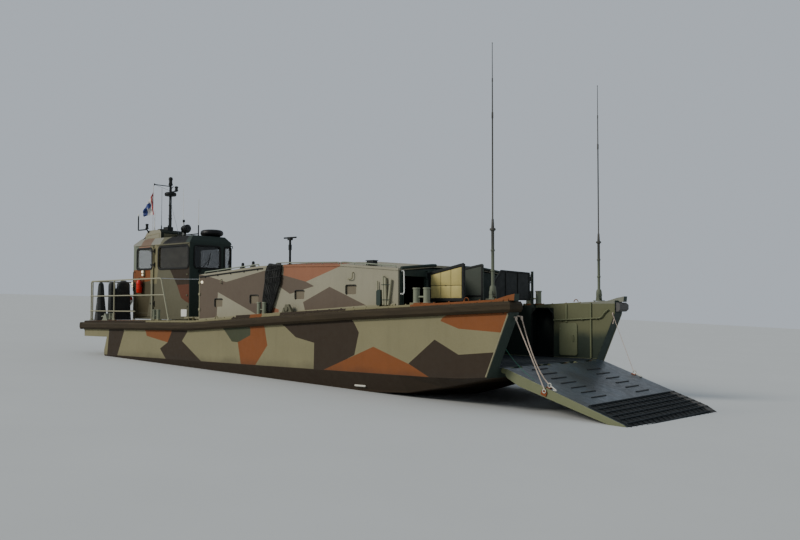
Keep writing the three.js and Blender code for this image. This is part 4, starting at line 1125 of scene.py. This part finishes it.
pair("grab_rails", grab_rails(), "pale", "pale_metal")
pair("roof_shadow_strip", roof_shadow_strip(), "seal", "fender_rubber")
pair("step_shadows", step_shadows(), "black", "dark_paint")
pair("wall_fittings", wall_fittings(), "sand", "camouflage_paint")
pair("corner_post", corner_post(), "sand lamp", "camouflage_paint", bevel=0.003)
piece("stowed_poles", stowed_poles(), "rail green", "rail_paint", bevel=0.006)
piece("t_post", t_post(), "black", "dark_paint", bevel=0.003)
piece("roof_vents", roof_vents(), "black", "dark_paint", bevel=0.006)
piece("front_trim", front_trim(), "green", "green_paint")
piece("hooked_rail", hooked_rail, "white", "rail_paint")
piece("hooked_rail_port", [mirrored(p) for p in hooked_rail], "white", "rail_paint")
lining = piece("leaf_lining", leaf_lining(), "black tan", "lined_panel", "shelter_door_starboard_leaf")
piece("leaf_trim", leaf_trim(), "black", "dark_paint", "shelter_door_port_leaf", 0.003)
piece("screen_trim", screen_trim(), "seal", "dark_paint", "bow_screen_leaf")


# Wheelhouse

SILL, LINTEL = 2.365, 2.955
SIDE_PANE = (1.7, 3.075)
FRONT_PANES = ((-0.72, 0.13, 0.08), (0.285, 0.488, 0.05))
DOOR_WINDOW = (0.705, 1.425, 2.375, 2.935)
DOOR_FACE = {s: wall + s * 0.036 for s, wall in HOUSE_WALL.items()}


def window_seal(plane, u0, u1, v0, v1, r, a, b, wide=0.038):
    outer = rounded(u0 - wide, u1 + wide, v0 - wide, v1 + wide, r + wide, 6)
    inner = rounded(u0 + 0.012, u1 - 0.012, v0 + 0.012, v1 - 0.012, r - 0.012, 6)
    return ring(plane, outer, inner, a, b)


def out_from(face, s, d0, d1):
    """From d0 to d1 outside a face on side s."""
    return sorted((face + s * d0, face + s * d1))


def house_trim():
    """Rubber round the panes, the wipers and a hook at the port corner."""
    x0, x1 = HOUSE
    parts = [window_seal("xz", *SIDE_PANE, SILL, LINTEL, 0.09, wall, wall + s * 0.014)
             for s, wall in HOUSE_WALL.items()]
    parts += [window_seal("yz", y0, y1, SILL, LINTEL, r, x1, x1 + 0.014, 0.03) for y0, y1, r in FRONT_PANES]
    parts.append(window_seal("yz", -0.69, 0.35, SILL + 0.04, LINTEL, 0.07, x0 - 0.014, x0))
    for y, reach, top in ((-0.55, 0.3, 2.76), (0.34, 0.09, 2.8)):
        parts += [pipe([(x1, y, 2.28), (x1 + 0.05, y, 2.29), (x1 + 0.04, y + reach, top - 0.14)],
                       0.03, 0.008, 8),
                  tube([(x1 + 0.03, y + reach - 0.05, top - 0.34),
                        (x1 + 0.03, y + reach + 0.03, top)], 0.011, 6),
                  box(x1, x1 + 0.03, y - 0.035, y + 0.035, 2.24, 2.31)]
    return parts + [pipe([(x1 - 0.02, 0.49, 2.98), (x1 + 0.05, 0.51, 3.0), (x1 + 0.05, 0.52, 2.93)],
                         0.02, 0.012, 8)]


def house_rails(s):
    """Drip rails, kick strip, pillar fittings and a grab rail on one side of the wheelhouse."""
    wall = HOUSE_WALL[s]
    return [box(1.62, 3.08, *out_from(wall, s, 0, 0.022), 3.003, 3.022),
            box(0.6, 1.5, *out_from(wall, s, 0, 0.024), 3.012, 3.032),
            box(0.5, 3.08, *out_from(wall, s, 0, 0.014), 0.97, 1.03),
            handle((0.545, wall, 2.3), (0.545, wall, 1.75), (0, s * 0.06, 0), 0.04, 0.012),
            *(box(3.02, 3.07, *out_from(wall, s, 0, 0.02), z - 0.02, z + 0.02) for z in (1.32, 1.62, 2.18)),
            *bolts([(0.62 + 0.3 * i, wall + s * 0.014, 1.0) for i in range(9)], (0, s, 0), 0.009, 0.006)]


def door_trim(s):
    """Window rubber, hinges' straps, handle and a stiffened lower panel on a wheelhouse door."""
    y = DOOR_FACE[s]
    seals = [window_seal("xz", *DOOR_WINDOW, 0.06, *out_from(y, s, 0, 0.01))]
    for z in (1.4, 2.48, 2.86):
        seals.append(box(1.36, 1.5, *out_from(y, s, 0, 0.007), z - 0.022, z + 0.022))
        seals.append(rod((1.52, y - s * 0.014, z - 0.052), (1.52, y - s * 0.014, z + 0.052), 0.017, sides=12))
    panel = 0.7, 1.42, 1.12, 1.62
    grip = [(0.71, y, 1.98), (0.71, y + s * 0.05, 1.98), (0.84, y + s * 0.05, 1.97),
            (0.86, y + s * 0.04, 1.97)]
    return painted(seals, [ring("xz", rect(*panel), rect(*panel, 0.02), *out_from(y, s, 0, 0.005)),
                           pipe(grip, 0.02, 0.01)])


def extinguisher(x=0.957, y=-0.995, z=1.69):
    """Red bottle in clips on the starboard door, under its window."""
    bottle = [(0.03, 0.0), (0.068, 0.012), (0.078, 0.03), (0.078, 0.31), (0.06, 0.35), (0.03, 0.375),
              (0.028, 0.39)]
    clip = band(0.078, 0.025, 0.006, 0.002)
    return painted(
        [turned(x, y, z, bottle), turned(x, y, z + 0.1, clip), turned(x, y, z + 0.25, clip)],
        [turned(x, y, z + 0.385, [(0.028, 0), (0.028, 0.04), (0.015, 0.05)], 12),
         pipe([(x + 0.02, y, z + 0.41), (x + 0.085, y, z + 0.39), (x + 0.095, y, z + 0.18)], 0.05, 0.011),
         *(box(x - 0.05, x + 0.05, y + 0.06, -0.906, z + h, z + h + 0.03) for h in (0.09, 0.25))])


def lifebuoy():
    """White ring hung on the after rail, with four red stretches and its grab line."""
    centre, big, sides = Vector((0.225, -1.0, 1.5)), 0.2, 16
    points, faces = hoop(centre, (0, big, 0), (0, 0, big), 0.045, 48, sides)
    line = tube([centre + Vector((0.02 * math.cos(4 * a), 0.25 * math.cos(a), 0.25 * math.sin(a)))
                 for a in turns(48)], 0.006, 6, True)
    red = [f for i, f in enumerate(faces) if (i // sides) % 12 < 4]
    white = [f for i, f in enumerate(faces) if (i // sides) % 12 >= 4]
    return [(points, white, 0), (points, red, 1), (*line, 0)]


def lamp_box(x, y, z):
    """Pale lamp with two lenses, on a starboard face at y."""
    lenses = ((0.04, [(0.036, 0), (0.034, 0.02), (0.02, 0.03)]),
              (-0.045, [(0.03, 0), (0.028, 0.015), (0.016, 0.022)]))
    return painted([box(x - 0.042, x + 0.042, y - 0.05, y, z - 0.085, z + 0.085)],
                   [lathe((x, y - 0.05, z + lift), (0, -1, 0), lens, 16) for lift, lens in lenses])


back_ladder = [box(0.36, 0.42, -0.8, -0.3, z - 0.012, z + 0.012) for z in (1.25, 1.55, 1.85, 2.15)]
back_ladder += [box(0.375, 0.42, y - 0.015, y + 0.015, 1.1, 2.28) for y in (-0.8, -0.3)]
blank_plate = prism("xz", rounded(2.8, 3.05, 1.05, 1.24, 0.01, 2), -0.89, -0.87)

piece("house_trim", house_trim(), "seal", "fender_rubber", bevel=0.003)
for side, s in SIDES:
    piece(f"house_rails_{side}", house_rails(s), "olive", "rail_paint", bevel=0.004)
    piece(f"door_trim_{side}", door_trim(s), "seal olive", "fender_rubber", f"cab_door_{side}", 0.002)
piece("extinguisher", extinguisher(), "red black", "rail_paint", "cab_door_starboard")
piece("lifebuoy", lifebuoy(), "white red", "rail_paint", smooth=60)
piece("side_lamp", lamp_box(0.5, HOUSE_WALL[-1], 1.93), "sand lamp", "rail_paint", bevel=0.003)
piece("door_lamp", lamp_box(1.055, DOOR_FACE[-1], 2.25), "sand lamp", "rail_paint",
      "cab_door_starboard", 0.003)
piece("blank_plate", [blank_plate], "white", "rail_paint", bevel=0.002)
piece("back_ladder", back_ladder, "pale", "rail_paint", bevel=0.003)


# Gear on the wheelhouse roof

ROOF = 3.24


def radome(x=2.8, y=0.1):
    cover = [(0.16, 0.0), (0.22, 0.002), (0.235, 0.03), (0.285, 0.045), (0.308, 0.075), (0.312, 0.11),
             (0.305, 0.155),
             (0.285, 0.18), (0.25, 0.198), (0.19, 0.208), (0.05, 0.212)]
    return [turned(x, y, ROOF, cover, 48), turned(x, y, ROOF + 0.1, band(0.308, 0.018, 0.008, 0.003), 48)]


def spotlight(x=1.7, z=ROOF):
    head = [(0.05, 0.0), (0.085, 0.015), (0.098, 0.05), (0.112, 0.2), (0.116, 0.21), (0.116, 0.235),
            (0.106, 0.24)]
    lens = [(0.1, 0.0), (0.09, 0.006), (0.04, 0.009)]
    return painted(
        [lathe((x - 0.12, 0, z + 0.3), (1, 0, 0), head, 28),
         handle((x, -0.125, z + 0.31), (x, 0.125, z + 0.31), (0, 0, -0.12), 0.05, 0.012),
         turned(x, 0, z, [(0.07, 0.0), (0.07, 0.02), (0.05, 0.03), (0.03, 0.04), (0.028, 0.2)], 20),
         pipe([(x - 0.06, 0, z + 0.38), (x - 0.08, 0, z + 0.48), (x - 0.08, 0, z + 0.5)], 0.02, 0.01, 8),
         turned(x - 0.08, 0, z + 0.49, [(0.03, 0), (0.035, 0.01), (0.035, 0.06), (0.02, 0.075)], 14)],
        [lathe((x + 0.117, 0, z + 0.3), (1, 0, 0), lens, 28)])


def mast_lamp(x, y, z, r=0.05, high=0.145):
    steps = ((1, 0), (1.1, 0.01), (1.1, 0.03), (0.85, 0.035), (0.85, high - 0.045), (1.1, high - 0.04),
             (1.05, high - 0.015), (0.5, high))
    return turned(x, y, z, [(r * wide, level) for wide, level in steps], 18)


def mast(x=0.95, foot=3.555):
    """Mast with its lamps, yard, round aerial and cables, which folds aft."""
    post = [(0.045, 0.0), (0.045, 0.3), (0.052, 0.305), (0.052, 0.34), (0.042, 0.345), (0.038, 1.2),
            (0.032, 1.28),
            (0.03, 1.32)]
    top = [(0.04, 0.0), (0.062, 0.01), (0.062, 0.06), (0.05, 0.07), (0.05, 0.16), (0.062, 0.17), (0.06, 0.22),
           (0.045, 0.245), (0.02, 0.255)]
    disc = [(0.05, 0.0), (0.15, 0.006), (0.168, 0.03), (0.17, 0.06), (0.166, 0.09), (0.14, 0.112),
            (0.05, 0.118)]
    return [turned(x, 0, foot, post, 20), turned(x, 0, 4.84, top, 20), turned(x, 0, 4.53, disc, 32),
            lathe((x, -0.04, foot), (0, 1, 0), band(0.038, 0.08), 20),
            mast_lamp(x + 0.29, 0, 4.655), rod((x, 0, 4.655), (x + 0.33, 0, 4.655), 0.018),
            rod((x, -0.54, 4.82), (x, 0.03, 4.82), 0.013), rod((x, 0, 4.74), (x + 0.14, 0, 4.8), 0.012),
            turned(x, -0.54, 4.82, [(0.012, -0.03), (0.02, -0.02), (0.02, 0.02), (0.012, 0.03)], 12),
            pipe([(x + 0.048, -0.01, 3.65), (x + 0.052, -0.02, 4.1), (x + 0.046, -0.01, 4.52)],
                 0.2, 0.008, 6),
            tube([(x, -0.5, 4.81), (x, -0.05, 4.7)], 0.004, 6),
            *(turned(x, 0, z, band(0.049, 0.023, edge=0.003), 16) for z in (3.95, 4.25))]


def aerial(x, y, z0, z1, r, base=0.17):
    """Tapering whip on a turned base."""
    return turned(x, y, z0, [(0.03, 0.0), (0.03, 0.03), (0.016, 0.05), (0.014, base - 0.01), (r, base),
                             (r * 0.6, z1 - z0)], 10)


def roof_gear(y=-0.06, bar=3.353, edge=-0.62):
    """After bracket, whip aerials, a bar over the roof on feet, and a hooded lamp."""
    dark = [
        pipe([(0.72, -0.56, 3.44), (0.72, edge, 3.53), (0.28, edge, 3.53), (0.28, edge, 3.944)], 0.02, 0.019),
        mast_lamp(0.723, edge, 3.545, 0.045, 0.15), aerial(0.905, -0.26, 3.5, 4.75, 0.007),
        turned(2.4, y, ROOF, [(0.04, 0.0), (0.04, 0.02), (0.018, 0.03), (0.018, 0.35), (0.012, 0.36)], 12),
        pipe([(1.09, y, 3.42), (1.09, y, bar), (2.4, y, bar)], 0.03, 0.016),
        turned(1.02, 0, 3.495, [(0.12, 0.0), (0.12, 0.004), (0.11, 0.012), (0.09, 0.012)], 20),
        box(1.06, 1.28, -0.3, -0.12, 3.49, 3.6), box(0.62, 0.78, -0.2, -0.06, 3.495, 3.575),
        rod((1.12, -0.16, 3.5), (1.12, -0.16, 3.66), 0.03),
        pipe([(0.62, -0.5, 3.42), (0.56, -0.56, 3.3), (0.47, edge, 3.24), (0.44, -0.66, 3.12)], 0.05, 0.01),
        pipe([(1.95, edge, 3.1), (2.0, edge, 3.16), (2.34, edge, 3.13)], 0.03, 0.008)]
    for x in (1.5, 2.1):
        dark += [rod((x, y, ROOF - 0.01), (x, y, bar), 0.012),
                 box(x - 0.04, x + 0.04, y - 0.04, y + 0.04, ROOF - 0.004, ROOF + 0.006)]
    return painted(dark, [
        turned(0.28, edge, 3.944, [(0.019, 0), (0.021, 0.01), (0.021, 0.05), (0.012, 0.066)], 12),
        aerial(1.447, 0.1, ROOF, 4.72, 0.008), rod((2.4, y, 3.6), (2.4, y, 4.34), 0.01, 0.006),
        aerial(0.83, -0.44, 3.5, 4.1, 0.012, 0.1)])


def pod_trim():
    """Rim of the side hatch with its bolts, and louvres on the pod's front."""
    x1, y0, y1 = 1.33, -0.56, 0.26
    outer = [(0.62, 3.26), (1.27, 3.26), (1.27, 3.41), (0.62, 3.36)]
    inner = [(0.64, 3.28), (1.25, 3.28), (1.25, 3.39), (0.64, 3.34)]
    return [ring("xz", outer, inner, y0 - 0.005, y0),
            *(box(x1, x1 + 0.008, y0 + 0.1, y1 - 0.1, z, z + 0.014) for z in (3.28, 3.31, 3.34, 3.37)),
            *bolts([(x, y0 - 0.004, 3.27) for x in (0.7, 0.9, 1.21)], (0, -1, 0), 0.01, 0.007)]


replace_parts(piece("radome_cover", radome(), "plastic", "dark_paint", smooth=50), "radome")
light = piece("spotlight", spotlight(), "black dark_glass", "dark_paint", "searchlight_head", smooth=40)
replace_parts(light, "searchlight")
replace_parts(piece("mast_gear", mast(), "black", "dark_paint", "mast_post", smooth=40), "mast")
piece("roof_gear", roof_gear(), "black white", "dark_paint")
piece("pod_trim", pod_trim(), "sand", "camouflage_paint", bevel=0.003)
STAY_FOOT, STAY_HEAD = (1.35, 0.02, 3.4), (0.97, -0.05, 4.5)
stay = piece("mast_stay", [tube([STAY_FOOT, STAY_HEAD], 0.004, 6)], "steel", "dark_paint")
stay.parent = None
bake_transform(stay)


# Flag on its halyard, over the wheelhouse roof

TOP_HALYARD, FOOT_HALYARD = Vector((0.93, -0.56, 4.79)), Vector((0.9, -0.545, 3.51))
FLAG = (0.44, 0.66)
# Four threads from the head down: start, turn and end of each, in metres out from and below the head
FLAG_THREADS = (((0, 0), (0, FLAG[0] / 3), (0, FLAG[0] * 2 / 3), (0, FLAG[0])),
                ((0.044, 0.1), (0.085, 0.15), (0.2, 0.375), (0.31, 0.59)),
                ((-0.035, 0.676), (0.005, 0.68), (0.155, 0.69), (0.27, 0.735)))


def flag():
    """Limp cloth on the halyard: each thread leaves its hoist outwards, turns, and hangs."""
    head = TOP_HALYARD + (FOOT_HALYARD - TOP_HALYARD).normalized() * 0.17
    away, fold = Vector((-0.76, -0.65, 0)), Vector((0.65, -0.76, 0))
    rows, columns = 36, 44
    points, flat = [], []
    for v in (i / rows for i in range(rows + 1)):
        start, turn, end = (Vector([along([(k / 3, place[n]) for k, place in enumerate(table)], v)
                                    for n in (0, 1)])
                            for table in FLAG_THREADS)
        bend_at = (turn - start).length / ((turn - start).length + (end - turn).length)
        for u in (j / columns for j in range(columns + 1)):
            past = (u - bend_at) / (1 - bend_at)
            p = start.lerp(turn, u / bend_at) if u < bend_at else turn.lerp(end, past)
            round_off = 0.01 * math.exp(-((u - bend_at) / 0.08) ** 2)
            hang = min(1.0, max(0.0, (u - bend_at + 0.1) / 0.3))
            depth = hang * along(((0, 0.035), (0.3, 0.02), (0.5, -0.035), (1, -0.02)), v)
            ripple = (0.004 + 0.034 * v) * math.sin(19 * u + 3 * v) * min(1.0, u * 5)
            points.append(head + away * p.x - Vector(UP) * (p.y + round_off) + fold * (depth + ripple))
            flat.append((u, 1 - v))
    obj = piece("flag", [(points, quilt(rows, columns))], "flag", "net_fabric", "mast_post", smooth=80)
    layer = obj.data.uv_layers.new(name="flat")
    for loop in obj.data.loops:
        layer.data[loop.index].uv = flat[loop.vertex_index]
    return obj


halyard = piece("flag_halyard", [tube([FOOT_HALYARD, TOP_HALYARD], 0.005, 8)], "rope", "net_fabric")
halyard.parent = None
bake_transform(halyard)
flag()


# Stern

RAIL_POSTS = (0.23, 1.4, 3.17)
RAIL_FOOT = 3.92


def rail_foot(x, y, z):
    return turned(x, y, z, [(0.05, 0), (0.05, 0.01), (0.028, 0.016), (0.022, 0.05)], 16)


def rail_ball(x, y, z):
    profile = [(0.012, 0), (0.024, 0.01), (0.027, 0.026), (0.024, 0.042), (0.012, 0.052)]
    return turned(x, y, z - 0.026, profile, 14)


def stern_rails(y=-2.04):
    """Bent tube rails with balls at the joints and bolted feet."""
    foot = {x: deck(x) + 0.008 for x in (*RAIL_POSTS, RAIL_FOOT)}
    top = [(0.23, y, foot[0.23]), (0.23, y, 2.01), (3.57, y, 2.034), (RAIL_FOOT, y, foot[RAIL_FOOT])]
    joints = ((0.23, 1.6), (0.23, 1.19), (1.4, 1.6), (1.4, 1.19), (3.17, 1.61))
    return [tube(bent(top, 0.07, 6), 0.018, 12), rod((0.23, y, 1.6), (3.71, y, 1.612), 0.015, sides=12),
            rod((0.23, y, 1.19), (2.41, y, 1.19), 0.015, sides=12),
            *(rod((x, y, foot[x]), (x, y, 2.02), 0.018, sides=12) for x in RAIL_POSTS[1:]),
            *(rail_foot(x, y, z - 0.002) for x, z in foot.items()), *(rail_ball(x, y, z) for x, z in joints)]


def after_rail(x=0.17):
    posts, foot = (-1.96, -0.65, 0.65, 1.96), deck(x) + 0.008
    bars = ((1.19, 0.015), (1.6, 0.015), (2.01, 0.018))
    return [*(rod((x, -1.96, z), (x, 1.96, z), r, sides=12) for z, r in bars),
            *(rod((x, y, foot), (x, y, 2.015), 0.018, sides=12) for y in posts),
            *(rail_foot(x, y, foot - 0.002) for y in posts),
            *(rail_ball(x, y, z) for y in posts for z in (1.6, 1.19))]


def covered(x, y, z0, z1, rx, ry, narrow, folds, seed):
    """A tall bundle under a tied cover: folds run down it, drawn in at the neck and flared at the foot."""
    start = random.Random(seed).uniform(0, 6)
    points, rows, sides = [], 18, 40
    for t in (i / rows for i in range(rows + 1)):
        swell = 1.0 + 0.12 * (1 - t) ** 3 - (1 - narrow) * t
        cap = max(0.0, (t - 0.9) / 0.1)
        swell *= math.sqrt(max(0.02, 1 - cap * cap * 0.9)) * (1 - 0.06 * math.exp(-((t - 0.62) / 0.03) ** 2))
        for a in turns(sides):
            fold = 1 + 0.06 * math.sin(folds * a + start + 2.5 * t) * (1 - 0.4 * t)
            fold += 0.025 * math.sin(17 * a + 5 * t)
            across, beside = (math.copysign(abs(c) ** 0.7, c) for c in (math.cos(a), math.sin(a)))
            points.append((x + across * rx * swell * fold, y + beside * ry * swell * fold,
                           z0 + (z1 - z0) * t))
    return points, skin(rows + 1, sides)


def stern_cleats():
    """Pale cleat on the starboard corner, and two vents to port."""
    z = deck(0.85)
    plate = [(0.66, z - 0.004), (0.98, z - 0.004), (0.93, z + 0.05), (0.86, z + 0.19), (0.82, z + 0.19),
             (0.74, z + 0.05)]
    vent = [(0.09, 0), (0.09, 0.02), (0.06, 0.03), (0.06, 0.22), (0.11, 0.24), (0.11, 0.3), (0.07, 0.33)]
    horn = [(0.76, -1.94, z + 0.04), (0.7, -1.94, z + 0.12), (0.62, -1.94, z + 0.1)]
    return painted([prism("xz", plate, -1.98, -1.9), pipe(horn, 0.03, 0.02)],
                   [turned(0.9, y, deck(0.9), vent) for y in (1.2, 1.5)])


for rail, (side, _) in zip(pair("rail", stern_rails(), "rail", "rail_paint", smooth=50), SIDES):
    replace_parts(rail, f"stern_rail_{side}")
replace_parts(piece("rail_aft", after_rail(), "rail", "rail_paint", smooth=50), "stern_rail_aft")
lifeline = tube([(3.58, -2.04, 2.03), (4.2, -1.975, 2.0), (4.95, -1.89, 1.985)], 0.008, 6)
piece("lifeline", [lifeline], "steel", "pale_metal")
piece("stern_cleats", stern_cleats(), "pale black", "rail_paint", bevel=0.004)

# Gear under black covers inside the after rail
COVER_FOOT = deck(0.4) + 0.008
covers = [covered(0.365, -1.13, COVER_FOOT, 2.05, 0.105, 0.2, 0.9, 6, 2),
          covered(0.365, -1.49, COVER_FOOT, 2.02, 0.105, 0.085, 0.95, 5, 5),
          covered(0.365, -1.3, COVER_FOOT, 1.84, 0.1, 0.13, 0.9, 8, 7)]
covers = piece("stern_covers", covers, "canvas", "dark_paint", smooth=70)
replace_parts(covers, "stern_locker")
cone = covered(0.42, -1.86, COVER_FOOT - 0.004, 2.0, 0.13, 0.13, 0.5, 6, 9)
cone = piece("corner_cover", [cone], "canvas", "dark_paint", smooth=70)


# Engine hatches

def hatch_trim(z=1.043):
    """Edge angle, grab bars, studs and treads on an engine hatch."""
    edge, y = (3.36, 4.78, -1.18, -0.06), -0.18
    parts = [ring("xy", rect(*edge, 0.01), rect(*edge, 0.06), z, z + 0.006)]
    parts += [handle((x - 0.09, y, z), (x + 0.09, y, z), (0, 0, 0.05), 0.025, 0.009) for x in (3.75, 4.4)]
    parts += bolts([(3.43 + 0.18 * i, y, z + 0.005) for i in range(8) for y in (-1.14, -0.1)], UP, 0.012)
    return parts + [prism("xy", rounded(x, x + 0.3, -0.95, -0.35, 0.03), z, z + 0.004)
                    for x in (3.5, 3.92, 4.34)]


pair("hatch_trim", hatch_trim(), "sand", "camouflage_paint", "hatch_{}", bevel=0.002)


# Waterjets

def jet_trim(y, z=-0.15):
    """Flange bolts, ribs and a hose on a jet's housing."""
    circle = [(1.089, y + 0.238 * math.cos(a), z + 0.238 * math.sin(a))
              for a in (b + math.pi / 12 for b in turns(12))]
    rib = [(0.196, 0), (0.222, 0.003), (0.222, 0.016), (0.2, 0.02)]
    hose = [(1.09, y + 0.16, z + 0.19), (0.98, y + 0.17, z + 0.19), (0.9, y + 0.16, z + 0.165),
            (0.84, y + 0.15, z + 0.15)]
    return [*bolts(circle, (-1, 0, 0), 0.014, 0.012), *(lathe((x, y, z), (1, 0, 0), rib, 40)
                                                        for x in (0.88, 0.99)),
            pipe(hose, 0.04, 0.012)]


def nozzle_trim(y):
    return [lathe((0.435, y, -0.15), (1, 0, 0), [(0.128, 0), (0.146, 0.004), (0.146, 0.026), (0.13, 0.03)],
                  40),
            pipe([(0.7, y - 0.146, -0.1), (0.66, y - 0.165, -0.09), (0.6, y - 0.165, -0.08)], 0.02, 0.011)]


for side, s in SIDES:
    piece(f"jet_trim_{side}", jet_trim(s * 0.76), "jet", "jet_metal")
    piece(f"nozzle_trim_{side}", nozzle_trim(s * 0.76), "jet", "jet_metal", f"nozzle_{side}")


# Soft net bundle over the shelter's side

NET_MIDDLE = -1.927


def net_outline(t):
    """Height, after and forward edge of the bundle, from its foot (0) to its head (1)."""
    z = 1.16 + t * 1.11
    after = along(((1.15, 7.34), (1.55, 7.37), (1.86, 7.43), (2.1, 7.44), (2.32, 7.56)), z)
    fore = along(((1.15, 7.66), (1.47, 7.8), (1.86, 7.98), (2.26, 8.01), (2.32, 7.95)), z)
    return z, after, fore


def net_roll():
    """Lumpy roll of knotted net."""
    points, rows, sides = [], 40, 36
    for t in (i / rows for i in range(rows + 1)):
        z, after, fore = net_outline(t)
        thick = 0.029 * math.sqrt(max(0.03, min(1.0, t / 0.06, (1 - t) / 0.04)))
        for a in turns(sides):
            lump = 1 + 0.07 * math.sin(5 * a + 9 * t) + 0.05 * math.sin(31 * t + 3 * a)
            half = (fore - after) / 2 * (0.96 + 0.03 * math.sin(23 * t + 2 * a))
            points.append(((after + fore) / 2 + math.cos(a) * half, NET_MIDDLE + math.sin(a) * thick * lump,
                           z + 0.02 * math.sin(a * 2)))
    return points, skin(rows + 1, sides)


def net_strands(count=9, steps=12):
    """Ropes of the net over the roll, crossing both ways."""
    parts = []
    for lean, n in ((lean, n) for lean in (-1, 1) for n in range(count)):
        line = []
        for t in (i / steps for i in range(steps + 1)):
            z, after, fore = net_outline(0.03 + t * 0.94)
            u = (n + 0.5) / count + lean * 0.22 * (t - 0.5) + 0.03 * math.sin(9 * t + n)
            u = min(max(u, 0.05), 0.95)
            out = 0.031 * math.sqrt(max(0.0, 1 - (2 * u - 1) ** 2)) + 0.003
            line.append((after + (fore - after) * u, NET_MIDDLE - out, z))
        parts.append(tube(line, 0.0075, 6))
    return parts


roll = piece("net_roll", [net_roll(), *net_strands()], "net", "net_fabric", smooth=70)
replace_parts(roll, "net_bundle")
lashing = [handle((7.5, -1.9, z), (7.98, -1.9, z + 0.03), (0, -0.068, 0), 0.03, 0.008)
           for z in (1.95, 2.12)]
piece("net_lashing", lashing, "net", "net_fabric")


# Inside the wheelhouse

def cushion(x0, x1, y0, y1, z0, z1, crown=0.03):
    """Stuffed cushion with a crowned top."""
    n, m = 12, 13
    grid = [(i / n, j / n) for i in range(m) for j in range(m)]
    points = [(x0 + (x1 - x0) * u, y0 + (y1 - y0) * v, z0) for u, v in grid]
    for u, v in grid:
        edge = (1 - (2 * u - 1) ** 6) * (1 - (2 * v - 1) ** 6)
        swell = crown * math.sqrt(max(edge, 0.0)) * (1 - 0.25 * math.cos(4 * math.pi * v))
        points.append((x0 + (x1 - x0) * u, y0 + (y1 - y0) * v, z1 - crown * 0.6 + swell))
    rim = [i * m for i in range(m)] + [n * m + j for j in range(1, m)]
    rim += [i * m + n for i in range(n - 1, -1, -1)] + list(range(n - 1, 0, -1))
    walls = [(a, b, m * m + b, m * m + a) for a, b in zip(rim, rim[1:] + rim[:1])]
    return points, quilt(n, n) + quilt(n, n, m * m) + walls


def helm():
    """Wheel with a padded rim and three spokes."""
    centre, side, lean, reach = Vector((2.51, -0.31, 2.06)), Vector((0, 1, 0)), math.radians(60), 0.17
    axis = Vector((-math.sin(lean), 0, math.cos(lean)))
    up = axis.cross(side)
    hub = [(0.02, 0), (0.034, 0.006), (0.034, 0.05), (0.022, 0.06)]
    tips = [centre + (side * math.cos(a) - up * math.sin(a)) * 0.165 for a in (0.5, 2.6, 4.71)]
    return [hoop(centre, side * reach, up * reach, 0.0155, 40, 12),
            lathe(centre - axis * 0.03, axis, hub, 20),
            *(rod(centre, tip, 0.011, 0.009, 10) for tip in tips)]


def console_trim():
    """Two screens, a row of switches and throttle levers on the console."""
    frames, screens = [], []
    for y in (-0.62, 0.02):
        frames.append(box(-0.11, 0.11, y - 0.15, y + 0.15, 0.001, 0.02))
        screens.append(box(-0.09, 0.09, y - 0.13, y + 0.13, 0.02, 0.022))
    frames += [rod((-0.15, y, 0), (-0.15, y, 0.02), 0.01, sides=8)
               for y in (-0.1 + 0.06 * i for i in range(7))]
    for y in (0.28, 0.34):
        frames += [rod((0.0, y, 0), (0.03, y, 0.12), 0.008, sides=8),
                   turned(0.03, y, 0.115, [(0.01, 0), (0.02, 0.01), (0.02, 0.035), (0.01, 0.045)], 12)]
    slope = Matrix.Translation((2.7, 0, 2.12)) @ Matrix.Rotation(math.radians(-40.6), 4, "Y")
    return painted(*([moved(p, slope) for p in parts] for parts in (frames, screens)))


upright = Matrix.Translation((1.81, 0, 1.68)) @ Matrix.Rotation(math.radians(-96), 4, "Y")
pads = [cushion(1.78, 2.22, -0.55, -0.07, 1.565, 1.665),
        moved(cushion(0.0, 0.56, -0.55, -0.07, 0.0, 0.1), upright)]
seat_pads = piece("seat_pads", pads, "vinyl", "seat_vinyl", smooth=60)
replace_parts(piece("helm_rim", helm(), "plastic", "helm_plastic", "helm", smooth=60), "helm_wheel")
piece("console_trim", console_trim(), "plastic dark_glass", "helm_plastic", bevel=0.002)


# Floor at the water's level, and a plain studio light

def make_stage():
    half = 90
    trim = Vector((0.03876, 0.01552, 0.99913)).normalized()
    across = Vector((0, 1, 0)).cross(trim).normalized()
    other = trim.cross(across)
    corners = [across * u * half + other * v * half for u, v in ((-1, -1), (1, -1), (1, 1), (-1, 1))]
    mesh = bpy.data.meshes.new("floor")
    mesh.from_pydata([tuple(c) for c in corners], [], [(0, 1, 2, 3)])
    g = Graph("floor_paint", 0.8)
    g.set("Base Color", g.mix(g.noise(0.4, 3.0), tint("b9bcbb"), tint("c1c4c3")))
    mesh.materials.append(g.material)
    add("floor", mesh)

    world = bpy.context.scene.world or bpy.data.worlds.new("world")
    bpy.context.scene.world = world
    world.use_nodes = True
    sky = world.node_tree.nodes["Background"]
    sky.inputs["Color"].default_value = (0.62, 0.68, 0.75, 1.0)
    sky.inputs["Strength"].default_value = 0.75
    data = bpy.data.lights.new("key", "SUN")
    data.energy = 2.4
    data.angle = math.radians(18)
    data.color = (1.0, 0.95, 0.87)
    sun = add("key", data)
    sun.rotation_mode = "QUATERNION"
    sun.rotation_quaternion = Vector((0.45, 0.8, -0.52)).to_track_quat("-Z", "Y")


make_stage()
